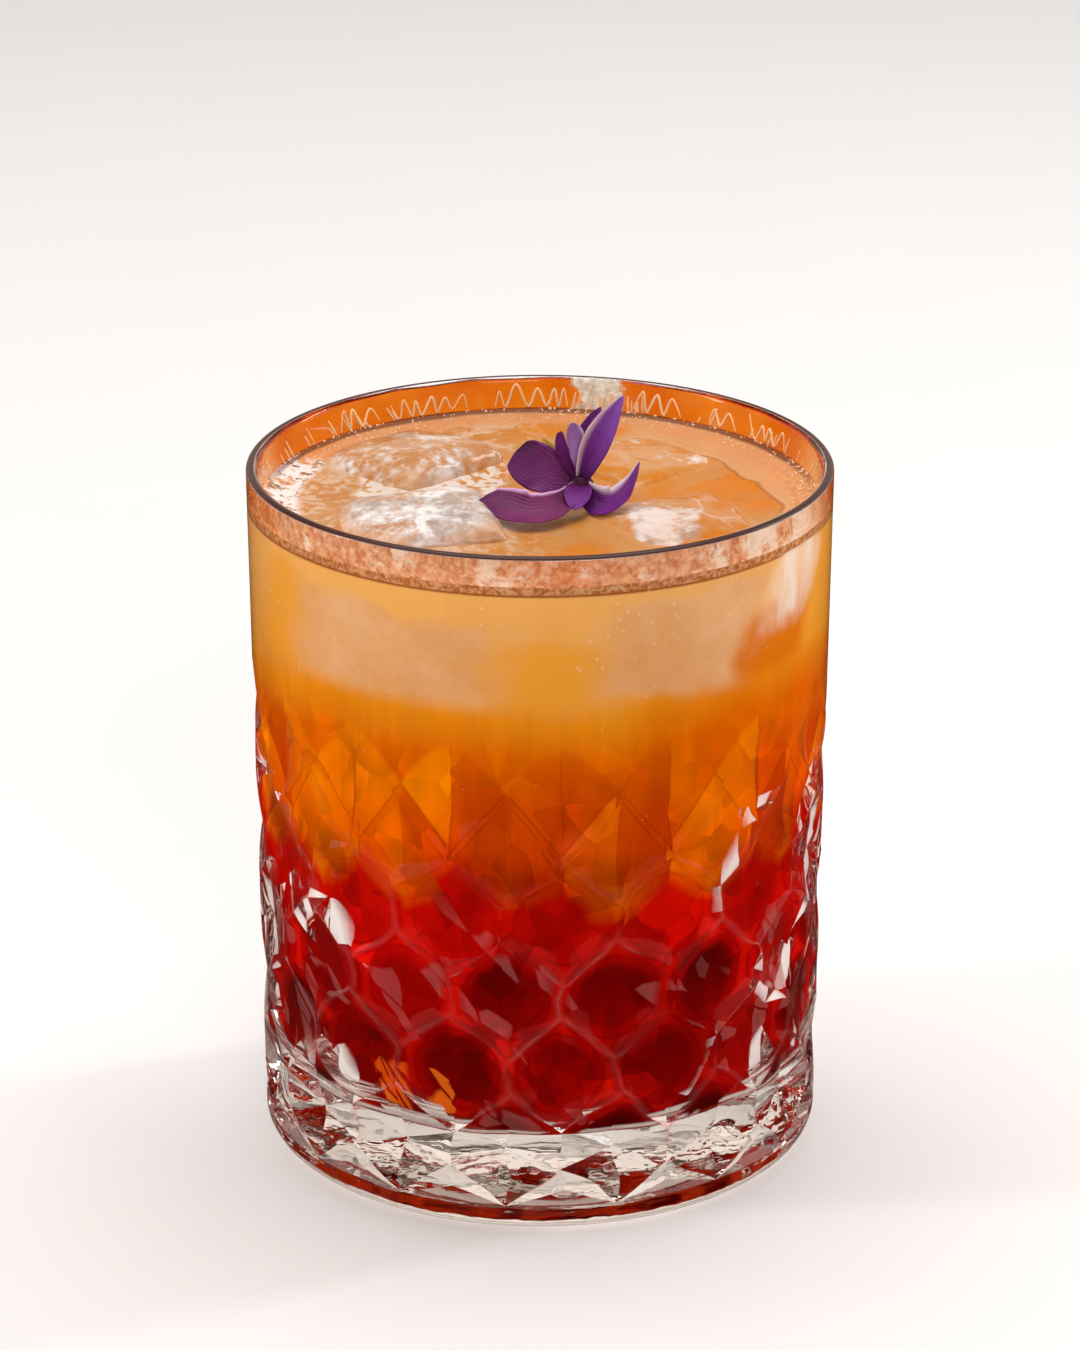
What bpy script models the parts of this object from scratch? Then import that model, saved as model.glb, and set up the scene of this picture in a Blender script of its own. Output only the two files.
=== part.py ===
"""A layered rum and fruit juice cocktail in a cut-glass tumbler, with ice cubes and a purple edible flower.

Run with blender --background --python part.py, or from Blender's text editor. Metres, +Z up. The origin is the
middle of the tumbler's foot, and the drink is seen from the front along +Y.
"""

import math
import random

import bmesh
import bpy
from mathutils import Matrix, Vector

MM = 0.001
GAP = 0.3 * MM  # between solids that touch in the real drink

# Tumbler
HEIGHT = 102.5 * MM
RIM_RADIUS = 42.0 * MM
FOOT_RADIUS = 40.9 * MM
RIM_WALL = 1.6 * MM
FLOOR = 13.5 * MM  # height of the drink's lowest point
CAVITY_LOW_RADIUS = 36.8 * MM
CAVITY_LEVEL_RADIUS = 39.6 * MM
FLOOR_FILLET = 5.0 * MM
FOOT_EDGE = 3.5 * MM
FOOT_RING_WIDTH = 5.5 * MM
PUNT_DEPTH = 0.8 * MM

# Cut pattern: a honeycomb of scooped cells under a row of pointed mitre cuts
COLUMNS = 16
COLUMN_ANGLE = 2 * math.pi / COLUMNS
FIRST_COLUMN = math.radians(4.4)  # from the front, towards +X
CUT_TIP = 73.5 * MM
CUT_SIDE = 67.0 * MM
JOINT_TOP = 56.9 * MM  # where a mitre cut ends and the honeycomb begins
RISE = 6.2 * MM  # height of a cell's sloping edge
UPRIGHT = 5.5 * MM  # height of a cell's upright edge
ROWS = 3
BAND_TOP = 4.4 * MM  # where the cells end above the foot
SCOOP = 1.5 * MM
TOP_SCOOP = 1.2 * MM
FOOT_SCOOP = 0.9 * MM
CUT_DEPTH = 1.3 * MM
ARCH_POWER = 1.6
STEPS_PER_HALF = 2  # mesh steps across half a column

# Drink
LEVEL = 96.5 * MM
PALE_BOTTOM = 78.0 * MM
JUICE_BOTTOM = 56.0 * MM

# Ice cubes: name, middle, size, turn about +Z, tilt about X and Y in degrees
ICE_CUBES = (
    ("ice_front_left", (-16.8, -12.0, 89.2), (23.0, 21.5, 18.0), 14, 3.5, -4.0),
    ("ice_back_left", (-18.8, 15.6, 89.3), (22.0, 21.0, 18.0), -42, -4.0, -3.5),
    ("ice_front_right", (19.6, -11.0, 88.4), (22.0, 21.5, 17.8), 26, 2.5, 2.0),
    ("ice_back_right", (14.6, 16.4, 88.5), (22.0, 21.0, 17.8), 40, -2.0, 3.0),
)
ICE_BEVEL = 2.8 * MM
ICE_WOBBLE = 0.55 * MM

# Flower. Places are from its middle, +Z up, and a petal's face is the way that its inner side looks
FLOWER_MIDDLE = Vector((5.9, -2.4, 99.9)) * MM
PETAL_THICKNESS = 0.5 * MM
PETAL_STEPS = 9
PETAL_STEPS_ACROSS = 4
RECEPTACLE_RADIUS = 1.6 * MM
PETALS = (
    dict(
        name="long_left", bow=(-5.4, -14.2, -2.5), tip=(-13.6, -5.4, 0.0), face=(0.1, -0.5, 0.87),
        half_width=3.1, widest=0.78, point=0.28, cup=0.26,
    ),
    dict(
        name="broad_left", bow=(-4.6, 0.6, 0.2), tip=(-9.6, 2.0, 3.9), face=(0.25, -0.8, 0.5),
        half_width=3.6, widest=0.60, point=0.45, cup=0.16,
    ),
    dict(
        name="small_upright", bow=(-2.6, 0.6, 3.2), tip=(-2.9, 0.7, 7.6), face=(-0.5, -0.8, 0.2),
        half_width=0.95, widest=0.7, point=0.4, cup=0.5,
    ),
    dict(
        name="pale_inner", bow=(-0.6, 1.6, 4.0), tip=(-1.3, 2.2, 8.4), face=(0.3, -0.9, 0.2),
        half_width=1.3, widest=0.75, point=0.5, cup=0.3,
    ),
    dict(
        name="rear_tall", bow=(-0.5, 2.6, 5.6), tip=(2.8, 3.2, 10.4), face=(-0.4, -0.9, 0.1),
        half_width=1.3, widest=0.55, point=0.9, cup=0.4,
    ),
    dict(
        name="front_tall", bow=(1.7, -1.2, 6.6), tip=(6.0, 1.6, 12.6), face=(-0.25, -0.95, 0.15),
        half_width=2.0, widest=0.5, point=0.9, cup=0.35,
    ),
    dict(
        name="right_hook", bow=(4.6, -11.0, -3.8), tip=(8.2, -1.8, 3.8), face=(-0.5, -0.45, 0.75),
        half_width=2.5, widest=0.42, point=0.9, cup=0.35,
    ),
    dict(
        name="front_lobe", bow=(-0.4, -3.4, 0.2), tip=(-1.0, -7.4, -1.5), face=(0.0, -0.5, 0.9),
        half_width=1.9, widest=0.6, point=0.5, cup=0.3,
    ),
    dict(
        name="sepal", bow=(-3.0, 3.4, 2.4), tip=(-5.6, 4.2, 5.4), face=(0.2, -0.8, 0.5),
        half_width=0.9, widest=0.5, point=0.9, cup=0.2,
    ),
)


def clear_scene():
    for obj in list(bpy.data.objects):
        bpy.data.objects.remove(obj)


def make_material(name, colour, roughness, transmission=0.0):
    material = bpy.data.materials.new(name)
    material.use_nodes = True
    shader = material.node_tree.nodes["Principled BSDF"]
    shader.inputs["Base Color"].default_value = (*colour, 1.0)
    shader.inputs["Roughness"].default_value = roughness
    shader.inputs["Metallic"].default_value = 0.0
    shader.inputs["Transmission Weight"].default_value = transmission
    return material


def make_object(name, bm, material, smooth_angle=None):
    """A closed mesh as an object, with its faces pointing out."""
    bmesh.ops.remove_doubles(bm, verts=bm.verts, dist=0.002 * MM)
    bmesh.ops.recalc_face_normals(bm, faces=bm.faces)
    if bm.calc_volume(signed=True) < 0:
        bmesh.ops.reverse_faces(bm, faces=bm.faces)
    mesh = bpy.data.meshes.new(name)
    bm.to_mesh(mesh)
    bm.free()
    mesh.materials.append(material)
    if smooth_angle is not None:
        mesh.shade_smooth()
        mesh.set_sharp_from_angle(angle=math.radians(smooth_angle))
    obj = bpy.data.objects.new(name, mesh)
    bpy.context.scene.collection.objects.link(obj)
    return obj


def wall_radius(z):
    """The tumbler's uncut outer radius."""
    return FOOT_RADIUS + (RIM_RADIUS - FOOT_RADIUS) * z / HEIGHT


def cavity_radius(z):
    """The tumbler's inner radius above the floor's fillet."""
    low = FLOOR + FLOOR_FILLET
    share = (z - low) / (LEVEL - low)
    return CAVITY_LOW_RADIUS + (CAVITY_LEVEL_RADIUS - CAVITY_LOW_RADIUS) * share


def at(radius, column, z):
    """The point at this radius, at a place counted in columns from the first."""
    angle = FIRST_COLUMN + column * COLUMN_ANGLE
    return Vector((radius * math.sin(angle), -radius * math.cos(angle), z))


def on_wall(column, z, depth=0.0):
    return at(wall_radius(z) - depth, column, z)


def split_edges(corners, steps):
    """A polygon's corners with each edge split into its number of steps."""
    points = []
    for i, (a, n) in enumerate(zip(corners, steps)):
        b = corners[(i + 1) % len(corners)]
        points += [(a[0] + (b[0] - a[0]) * k / n, a[1] + (b[1] - a[1]) * k / n) for k in range(n)]
    return points


def add_cell(bm, corners, steps, scoop, shares=(0.0, 0.3, 0.65)):
    """A dished cell between ridges that lie on the wall. shares are how far each ring lies towards the middle."""
    outline = split_edges(corners, steps)
    middle = tuple(sum(p[i] for p in corners) / len(corners) for i in (0, 1))
    rings = []
    for share in shares:
        depth = scoop * (1 - (1 - share) ** 2)
        rings.append(
            [
                bm.verts.new(
                    on_wall(u + (middle[0] - u) * share, z + (middle[1] - z) * share, depth)
                )
                for u, z in outline
            ]
        )
    centre = bm.verts.new(on_wall(*middle, scoop))
    count = len(outline)
    for outer, inner in zip(rings, rings[1:]):
        for i in range(count):
            j = (i + 1) % count
            bm.faces.new((outer[i], outer[j], inner[j]))
            bm.faces.new((outer[i], inner[j], inner[i]))
    for i in range(count):
        bm.faces.new((rings[-1][i], rings[-1][(i + 1) % count], centre))


def arch_height(offset):
    """Height of a mitre cut's arched top edge, offset columns from its valley."""
    return CUT_SIDE + (CUT_TIP - CUT_SIDE) * (1 - abs(2 * offset) ** ARCH_POWER)


def cut_outline():
    """Half widths and heights up one side of a mitre cut, from its foot to its tip."""
    n = STEPS_PER_HALF
    lower = [(0.5 * k / n, JOINT_TOP + (CUT_SIDE - JOINT_TOP) * k / n) for k in range(n)]
    upper = [(0.5 - 0.5 * k / n, arch_height(0.5 - 0.5 * k / n)) for k in range(n + 1)]
    return lower + upper


def valley_depth(z):
    """Depth of a mitre cut's valley, shallow at both ends as a wheel leaves it."""
    share = (z - JOINT_TOP) / (CUT_TIP - JOINT_TOP)
    return CUT_DEPTH * math.sin(math.pi * share) ** 0.7 if 0 < share < 1 else 0.0


def add_mitre_cut(bm, column):
    """A pointed V-shaped cut: two sloping faces that meet in an upright valley."""
    outline = cut_outline()
    for side in (-1, 1):
        edge = [bm.verts.new(on_wall(column + side * w, z)) for w, z in outline]
        valley = [bm.verts.new(on_wall(column, z, valley_depth(z))) for _, z in outline]
        for i in range(len(outline) - 1):
            for corners in (
                (edge[i], edge[i + 1], valley[i + 1]),
                (edge[i], valley[i + 1], valley[i]),
            ):
                if (corners[1].co - corners[2].co).length > 1e-7 and (
                    corners[0].co - corners[2].co
                ).length > 1e-7:
                    bm.faces.new(corners)


def row_corners(column, top):
    """Corners of one honeycomb cell, from its top point down its right side and back up its left."""
    high, low = top - RISE, top - RISE - UPRIGHT
    return [
        (column, top),
        (column + 0.5, high),
        (column + 0.5, low),
        (column, low - RISE),
        (column - 0.5, low),
        (column - 0.5, high),
    ]


def add_pattern(bm):
    n = STEPS_PER_HALF
    for c in range(COLUMNS):
        add_mitre_cut(bm, c)
        half = c + 0.5
        add_cell(
            bm,
            [(half, CUT_SIDE), (c + 1, JOINT_TOP), (half, JOINT_TOP - RISE), (c, JOINT_TOP)],
            (n, n, n, n),
            TOP_SCOOP,
        )
        for row in range(ROWS):
            column = c + 0.5 * (row % 2)
            top = JOINT_TOP - row * (RISE + UPRIGHT)
            add_cell(bm, row_corners(column, top), (n, 1, n, n, 1, n), SCOOP)
        low = row_corners(half, JOINT_TOP - ROWS * (RISE + UPRIGHT))
        low[3] = (half, BAND_TOP)
        add_cell(bm, low, (n, 1, n, n, 1, n), SCOOP)
        add_cell(
            bm,
            [(c, low[2][1]), (half, BAND_TOP), (c - 0.5, BAND_TOP)],
            (n, 2 * n, n),
            FOOT_SCOOP,
            (0.0, 0.5),
        )


def add_band(bm, rings):
    """Faces between rings of points, each ring a list of the same length."""
    made = [[bm.verts.new(p) for p in ring] for ring in rings]
    count = len(made[0])
    for low, high in zip(made, made[1:]):
        for i in range(count):
            j = (i + 1) % count
            bm.faces.new((low[i], low[j], high[j]))
            bm.faces.new((low[i], high[j], high[i]))
    return made


def add_cap(bm, ring, z):
    centre = bm.verts.new((0, 0, z))
    for i in range(len(ring)):
        bm.faces.new((ring[i], ring[(i + 1) % len(ring)], centre))


def columns_round():
    """The places round the tumbler at which its plain surfaces have points."""
    n = 2 * STEPS_PER_HALF
    return [c + k / n - 0.5 for c in range(COLUMNS) for k in range(n)]


def turned(radius, z):
    return [at(radius, u, z) for u in columns_round()]


def fillet_profile(radius, low, fillet, steps=4):
    """(radius, height) round an inner corner, from the wall down to the floor."""
    angles = [math.pi / 2 * k / steps for k in range(steps + 1)]
    return [
        (radius - fillet + fillet * math.cos(a), low + fillet - fillet * math.sin(a))
        for a in angles
    ]


def make_tumbler(material):
    bm = bmesh.new()
    add_pattern(bm)
    columns = columns_round()
    arches = [on_wall(u, arch_height(u - math.floor(u + 0.5))) for u in columns]
    plain_start = CUT_TIP + 2.5 * MM
    lip = RIM_WALL / 2
    lip_middle = RIM_RADIUS - lip
    lip_height = HEIGHT - lip
    lip_arc = [
        turned(lip_middle + lip * math.cos(a), lip_height + lip * math.sin(a))
        for a in [math.pi * k / 4 for k in range(5)]
    ]
    inside = [turned(cavity_radius(LEVEL), LEVEL)]
    fillet = fillet_profile(CAVITY_LOW_RADIUS, FLOOR, FLOOR_FILLET)
    inside += [turned(r, z) for r, z in fillet]
    made = add_band(
        bm,
        [arches, [on_wall(u, plain_start) for u in columns], *lip_arc, *inside],
    )
    add_cap(bm, made[-1], FLOOR)

    foot = [turned(wall_radius(BAND_TOP), BAND_TOP)]
    foot_radius = wall_radius(FOOT_EDGE)
    for r, z in fillet_profile(foot_radius, 0.0, FOOT_EDGE, 3):
        foot.append(turned(r, z))
    ring_inside = foot_radius - FOOT_EDGE - FOOT_RING_WIDTH
    foot.append(turned(ring_inside, 0.0))
    foot.append(turned(ring_inside - 2 * PUNT_DEPTH, PUNT_DEPTH))
    made = add_band(bm, foot)
    add_cap(bm, made[-1], PUNT_DEPTH)
    return make_object("tumbler", bm, material, 20)


def make_layer(name, low, high, material):
    """One layer of the drink, between two heights, a gap inside the tumbler's wall."""
    bm = bmesh.new()
    rings = [turned(cavity_radius(high) - GAP, high)]
    fillet_top = FLOOR + FLOOR_FILLET
    if low < fillet_top:
        profile = fillet_profile(CAVITY_LOW_RADIUS - GAP, low, FLOOR_FILLET - GAP)
        rings += [turned(r, z) for r, z in profile]
    else:
        rings.append(turned(cavity_radius(low) - GAP, low))
    made = add_band(bm, rings)
    add_cap(bm, made[0], high)
    add_cap(bm, made[-1], low)
    return make_object(name, bm, material, 30)


def ice_mesh(name, size, grow):
    """A worn cube of ice about the origin. grow moves its faces out, for the hollow it sits in."""
    bm = bmesh.new()
    bmesh.ops.create_cube(bm, size=1.0)
    bmesh.ops.scale(bm, vec=Vector(size) * MM, verts=bm.verts)
    bmesh.ops.bevel(
        bm,
        geom=list(bm.edges) + list(bm.verts),
        offset=ICE_BEVEL,
        segments=2,
        profile=0.6,
        affect="EDGES",
    )
    bmesh.ops.triangulate(bm, faces=bm.faces)
    rng = random.Random(name)
    for vert in bm.verts:
        vert.co += Vector([rng.uniform(-1, 1) for _ in range(3)]) * ICE_WOBBLE
    bmesh.ops.recalc_face_normals(bm, faces=bm.faces)
    if grow:
        moved = [(v, v.co + v.normal * grow) for v in bm.verts]
        for vert, place in moved:
            vert.co = place
    return bm


def place_ice(obj, middle, turn, tilt_x, tilt_y):
    obj.matrix_world = (
        Matrix.Translation(Vector(middle) * MM)
        @ Matrix.Rotation(math.radians(tilt_x), 4, "X")
        @ Matrix.Rotation(math.radians(tilt_y), 4, "Y")
        @ Matrix.Rotation(math.radians(turn), 4, "Z")
    )


def make_ice(pale_layer, material):
    """The ice cubes, and the hollows that they leave in the drink's top layer."""
    for name, middle, size, turn, tilt_x, tilt_y in ICE_CUBES:
        cube = make_object(name, ice_mesh(name, size, 0.0), material, 40)
        place_ice(cube, middle, turn, tilt_x, tilt_y)
        hollow = make_object(name + "_hollow", ice_mesh(name, size, 1.4 * GAP), material)
        place_ice(hollow, middle, turn, tilt_x, tilt_y)
        hollow.hide_render = True
        hollow.display_type = "WIRE"
        cut = pale_layer.modifiers.new(name, "BOOLEAN")
        cut.operation = "DIFFERENCE"
        cut.object = hollow


def petal_half_width(share, half_width, widest, point):
    """Half width along a petal: narrow at its root, then full, then closing to its tip."""
    if share < widest:
        return half_width * (0.3 + 0.7 * math.sin(math.pi / 2 * share / widest))
    return half_width * max(math.cos(math.pi / 2 * (share - widest) / (1 - widest)), 0.0) ** point


def petal_rows(bow, tip, face, half_width, widest, point, cup, steps, steps_across):
    """Rows of (point, normal) across a petal, from its root at the flower's middle to its tip."""
    bow, tip = (Vector(v) * MM for v in (bow, tip))
    rows = []
    for i in range(steps + 1):
        share = i / steps
        middle = FLOWER_MIDDLE + 2 * share * (1 - share) * bow + share * share * tip
        along = (1 - share) * bow + share * (tip - bow)
        across = along.cross(Vector(face)).normalized()
        up = across.cross(along).normalized()
        width = petal_half_width(share, half_width * MM, widest, point) + 0.12 * MM
        places = [2 * k / steps_across - 1 for k in range(steps_across + 1)]
        rows.append([(middle + across * width * t + up * width * cup * t * t, up) for t in places])
    return rows


def petal_mesh(name, **shape):
    """A thin curved petal as a closed mesh, split alike on both faces."""
    rows = petal_rows(**shape, steps=PETAL_STEPS, steps_across=PETAL_STEPS_ACROSS)
    bm = bmesh.new()
    half = PETAL_THICKNESS / 2
    faces = [
        [[bm.verts.new(p + up * half * side) for p, up in row] for row in rows] for side in (1, -1)
    ]
    last_row, last_col = PETAL_STEPS, PETAL_STEPS_ACROSS
    for grid in faces:
        for i in range(last_row):
            for k in range(last_col):
                a, b = grid[i][k], grid[i + 1][k]
                c, d = grid[i + 1][k + 1], grid[i][k + 1]
                bm.faces.new((a, b, c))
                bm.faces.new((a, c, d))
    rim = [(0, k) for k in range(last_col)] + [(i, last_col) for i in range(last_row)]
    rim += [(last_row, k) for k in range(last_col, 0, -1)] + [(i, 0) for i in range(last_row, 0, -1)]
    for (i, k), (j, m) in zip(rim, rim[1:] + rim[:1]):
        top, bottom = faces
        bm.faces.new((top[i][k], top[j][m], bottom[j][m]))
        bm.faces.new((top[i][k], bottom[j][m], bottom[i][k]))
    return bm


def make_flower(material):
    """The bloom: petals and a sepal joined to a small middle, as one solid."""
    pieces = bpy.data.collections.new("bloom_pieces")
    bpy.context.scene.collection.children.link(pieces)
    for petal in PETALS:
        obj = make_object(petal["name"], petal_mesh(**petal), material)
        bpy.context.scene.collection.objects.unlink(obj)
        pieces.objects.link(obj)
    bm = bmesh.new()
    bmesh.ops.create_icosphere(bm, subdivisions=2, radius=RECEPTACLE_RADIUS)
    bmesh.ops.scale(bm, vec=(1.1, 1.0, 0.8), verts=bm.verts)
    bmesh.ops.translate(bm, vec=FLOWER_MIDDLE, verts=bm.verts)
    flower = make_object("flower", bm, material, 35)
    join = flower.modifiers.new("join", "BOOLEAN")
    join.operation = "UNION"
    join.operand_type = "COLLECTION"
    join.collection = pieces
    join.solver = "MANIFOLD"
    bpy.context.view_layer.update()
    graph = bpy.context.evaluated_depsgraph_get()
    joined = bpy.data.meshes.new_from_object(flower.evaluated_get(graph))
    flower.modifiers.clear()
    flower.data = joined
    for obj in list(pieces.objects):
        bpy.data.objects.remove(obj)
    bpy.data.collections.remove(pieces)
    return flower


def main():
    clear_scene()
    clear_glass = make_material("clear_glass", (0.95, 0.95, 0.94), 0.03, 1.0)
    grenadine = make_material("grenadine", (0.55, 0.01, 0.01), 0.1)
    orange_juice = make_material("orange_juice", (0.86, 0.30, 0.01), 0.15)
    pale_juice = make_material("pale_juice", (0.87, 0.52, 0.22), 0.2)
    ice = make_material("ice", (0.92, 0.90, 0.88), 0.1, 0.8)
    purple = make_material("purple_petal", (0.22, 0.06, 0.32), 0.5)

    make_tumbler(clear_glass)
    make_layer("drink_red", FLOOR + GAP, JUICE_BOTTOM - GAP, grenadine)
    make_layer("drink_orange", JUICE_BOTTOM, PALE_BOTTOM - GAP, orange_juice)
    pale_layer = make_layer("drink_pale", PALE_BOTTOM, LEVEL, pale_juice)
    make_ice(pale_layer, ice)
    make_flower(purple)


main()
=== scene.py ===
"""Looks of a layered cocktail in a cut-glass tumbler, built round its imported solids.

Metres, +Z up, origin in the middle of the tumbler's foot, front towards -Y.
"""

import math
import random
from collections import namedtuple

import bmesh
import bpy
from mathutils import Matrix, Vector, noise

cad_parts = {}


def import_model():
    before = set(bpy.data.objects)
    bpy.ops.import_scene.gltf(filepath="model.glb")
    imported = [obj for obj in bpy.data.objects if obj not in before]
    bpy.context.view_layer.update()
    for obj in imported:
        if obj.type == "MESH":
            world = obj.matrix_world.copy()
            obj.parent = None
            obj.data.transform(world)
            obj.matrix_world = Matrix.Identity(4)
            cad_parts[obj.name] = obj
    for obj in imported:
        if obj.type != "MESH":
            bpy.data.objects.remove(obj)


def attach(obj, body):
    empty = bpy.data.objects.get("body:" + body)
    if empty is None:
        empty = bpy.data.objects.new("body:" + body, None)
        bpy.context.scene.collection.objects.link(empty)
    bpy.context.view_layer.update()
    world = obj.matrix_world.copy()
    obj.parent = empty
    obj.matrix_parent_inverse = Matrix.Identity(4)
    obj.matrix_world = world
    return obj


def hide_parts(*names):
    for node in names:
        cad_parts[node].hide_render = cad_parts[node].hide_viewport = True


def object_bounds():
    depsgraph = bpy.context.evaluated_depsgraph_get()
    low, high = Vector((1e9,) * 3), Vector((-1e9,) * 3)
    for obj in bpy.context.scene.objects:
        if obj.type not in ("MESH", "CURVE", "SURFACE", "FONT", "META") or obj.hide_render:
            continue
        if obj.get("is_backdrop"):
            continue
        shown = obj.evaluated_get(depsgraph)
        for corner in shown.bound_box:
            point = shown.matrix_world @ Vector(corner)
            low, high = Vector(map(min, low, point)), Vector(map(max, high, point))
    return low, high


MM = 0.001
SAME_POINT = 0.0015 * MM  # points nearer than this are one

# Tumbler
HEIGHT = 102.5 * MM
RIM_RADIUS = 42.0 * MM
FOOT_RADIUS = 40.9 * MM
RIM_WALL = 1.6 * MM
FLOOR = 13.5 * MM
CAVITY_LOW_RADIUS = 36.8 * MM
CAVITY_LEVEL_RADIUS = 39.6 * MM
FLOOR_FILLET = 5.0 * MM
FOOT_EDGE = 3.5 * MM
FOOT_RING_WIDTH = 5.5 * MM
PUNT_DEPTH = 0.8 * MM
PUNT_STEPS = 8
LIP_STEPS = 18
WALL_STEPS = 8  # from the cuts to the lip
CAVITY_STEPS = 16
FLOOR_STEPS = 5
FLOOR_LAST_RING = 4.0 * MM

# Cut pattern
COLUMNS = 16
COLUMN_ANGLE = 2 * math.pi / COLUMNS
FIRST_COLUMN = math.radians(4.4)
CUT_TIP = 73.5 * MM
CUT_SIDE = 67.0 * MM
JOINT_TOP = 56.9 * MM
RISE = 6.2 * MM
UPRIGHT = 5.5 * MM
ROWS = 3
BAND_TOP = 4.4 * MM
SCOOP = 1.5 * MM
TOP_SCOOP = 1.2 * MM
FOOT_SCOOP = 0.9 * MM
CUT_DEPTH = 1.3 * MM
PLAIN_START = CUT_TIP + 2.5 * MM
CUT_WANDER = (0.1, 1.1 * MM)  # how far the cuts wander, in columns and in height
ARCH_POWER = 1.6
STEPS_PER_HALF = 7  # mesh steps across half a column
UPRIGHT_STEPS = 4
CELL_RINGS = (0.0, 0.018, 0.045, 0.1, 0.2, 0.32, 0.46, 0.62, 0.78, 0.91)
CUT_STEPS = (0.0, 0.03, 0.1, 0.3, 0.5, 0.7, 0.9, 0.965, 0.985, 1.0)
RIDGE_FADE = 0.075  # how far from a ridge, as a share of the cell, its worn edge and its painted highlight show
GLASS_CREASE = 10.5  # degrees between two faces of the glass that makes their edge a crisp one
# Degrees round the lip, from its outer side over its top, that get a dark line painted in place of a dark
# reflection
LIP_DARK_LINE = (35, 112)
LIP_DARK_LINE_FADE = 12

# Drink
LEVEL = 96.5 * MM
PALE_BOTTOM = 78.0 * MM
JUICE_BOTTOM = 56.0 * MM
OVERLAP = 0.12 * MM  # how far the drink reaches into the wall
MENISCUS = 1.3 * MM
MENISCUS_REACH = 1.3 * MM
ICE_MENISCUS = 0.7 * MM
ICE_MENISCUS_REACH = 0.9 * MM
RIPPLE = 0.12 * MM
RIPPLE_SCALE = 160
SURFACE_STEP = 0.8 * MM
RINGS_AT_WALL = (0.15 * MM, 0.4 * MM)  # extra rings of the surface where it climbs the wall
SIDE_STEP = 1.5 * MM
DRINK_CREASE = 40  # degrees between faces that make a crisp edge on the lower layers
SURFACE_CREASE = 50
LEAST_RISE = 0.15  # a face whose normal points up by more than this is the drink's surface
ICE_GLOW = 8.0 * MM  # how far ice lights the juice round it, seen from the side
ICE_GLOW_ON_TOP = 3.5 * MM

# Colours up the drink: height in mm, then the colour as seen on a screen. The lighter first row is painted
# light along the drink's floor
DRINK_TOP = LEVEL + MENISCUS
DRINK_COLOURS = (
    (13.5, 208, 34, 16),
    (14.0, 186, 10, 6),
    (30.0, 204, 6, 3),
    (40.0, 228, 8, 4),
    (50.6, 218, 14, 1),
    (52.0, 222, 48, 0),
    (55.0, 230, 76, 0),
    (64.0, 232, 92, 0),
    (73.0, 234, 110, 0),
    (79.5, 244, 152, 24),
    (84.0, 247, 172, 74),
    (90.0, 249, 186, 98),
    (96.15, 250, 190, 108),
    # Painted shade: the next two rows are a dark line where the surface meets the wall
    (96.35, 150, 68, 18),
    (96.5, 150, 68, 18),
    (96.65, 214, 146, 92),
)

# Light and shade that cut glass would make of the drink behind it, painted into the drink's colour. Tones
# are factors on the drink's colour
DEEP_TONES = (
    (0.0, (0.12, 0.14, 0.2)),
    (0.22, (0.3, 0.3, 0.34)),
    (0.42, (0.85, 0.8, 0.84)),
    (0.75, (1.1, 1.2, 1.1)),
    (1.0, (1.3, 1.7, 1.3)),
)
BRIGHT_TONES = (
    (0.0, (0.72, 0.5, 0.5)),
    (0.3, (0.88, 0.8, 0.8)),
    (0.7, (1.02, 1.05, 1.0)),
    (1.0, (1.12, 1.45, 2.0)),
)
CUT_TONES = (
    (0.0, (0.74, 0.5, 0.4)),
    (0.3, (0.9, 0.76, 0.7)),
    (0.6, (1.06, 1.25, 1.0)),
    (1.0, (1.24, 2.1, 4.0)),
)
CELL_PITCH = RISE + UPRIGHT
CELL_MIDDLE = JOINT_TOP - RISE - UPRIGHT / 2  # height of the middle of the top row's cells
CELL_REACH = 8.4 * MM
GOLDEN_CUTS = (-2.9, -1.0)  # from and to, in columns, where the cuts catch more light
ORANGE_LIGHTS = (-1.65, -1.2, 17.5 * MM, 22.0 * MM)  # orange lights low in the red: columns, then heights

# The drink's open surface, with places round it in degrees from the front
SLUSH = (-112, -58, 35.5, 39.4)  # crushed ice at the wall: from, to, then radii in mm
SHELF = (84, 154)  # a smooth tan shelf at the surface's edge: from and to
SHELF_INSIDE = (34.5 * MM, 26.5 * MM)  # radii at which it begins at its two ends

# What shows through the pale juice, with a painted glow in the gaps between the ice and a painted highlight
# streak: from and to in degrees from the front, then heights in mm
BLOCKS_BEHIND = ((-47, -13, 78.0, 92.5), (17, 44, 81.0, 93.0), (-150, -95, 80, 93), (100, 150, 81, 93))
GLOWING_GAPS = ((-12, 12, 76, 88), (66, 92, 78, 92), (-60, -50, 76, 92), (160, 200, 78, 92))
DEEP_GAP = (50, 62, 77, 86)
HIGHLIGHT_STREAK = (55, 63, 87, 96.5)

# Juice film and drips above the drink, with places round it in degrees from the front
FILM_THICKNESS = 0.08 * MM
FILM_INTO_WALL = 0.05 * MM
FILM_HIGH = HEIGHT - 0.12 * MM
FILM_FRONT = 60
FILM_FADE = 24
FILM_GAP = 167.6  # where the film has run off: bare glass with a whitish haze that is partly a painted highlight
FILM_GAP_HALF = 5.0
FILM_ROWS = 11
# Drip lines: zigzags from and to, then strokes from, to, how many and how far they lean
ZIGZAGS = ((148, 161), (174, 192), (196, 214), (217, 228), (116, 130), (133, 142))
STROKES = (
    (157, 167, 14, 0.1),
    (166, 174, 6, -0.3),
    (212, 252, 14, 0.8),
    (100, 150, 12, -0.5),
    (252, 285, 10, 0.5),
    (75, 100, 8, -0.4),
)
FROTH_COUNT = 700
FROTH_WIDTH = 2.2 * MM
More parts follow.
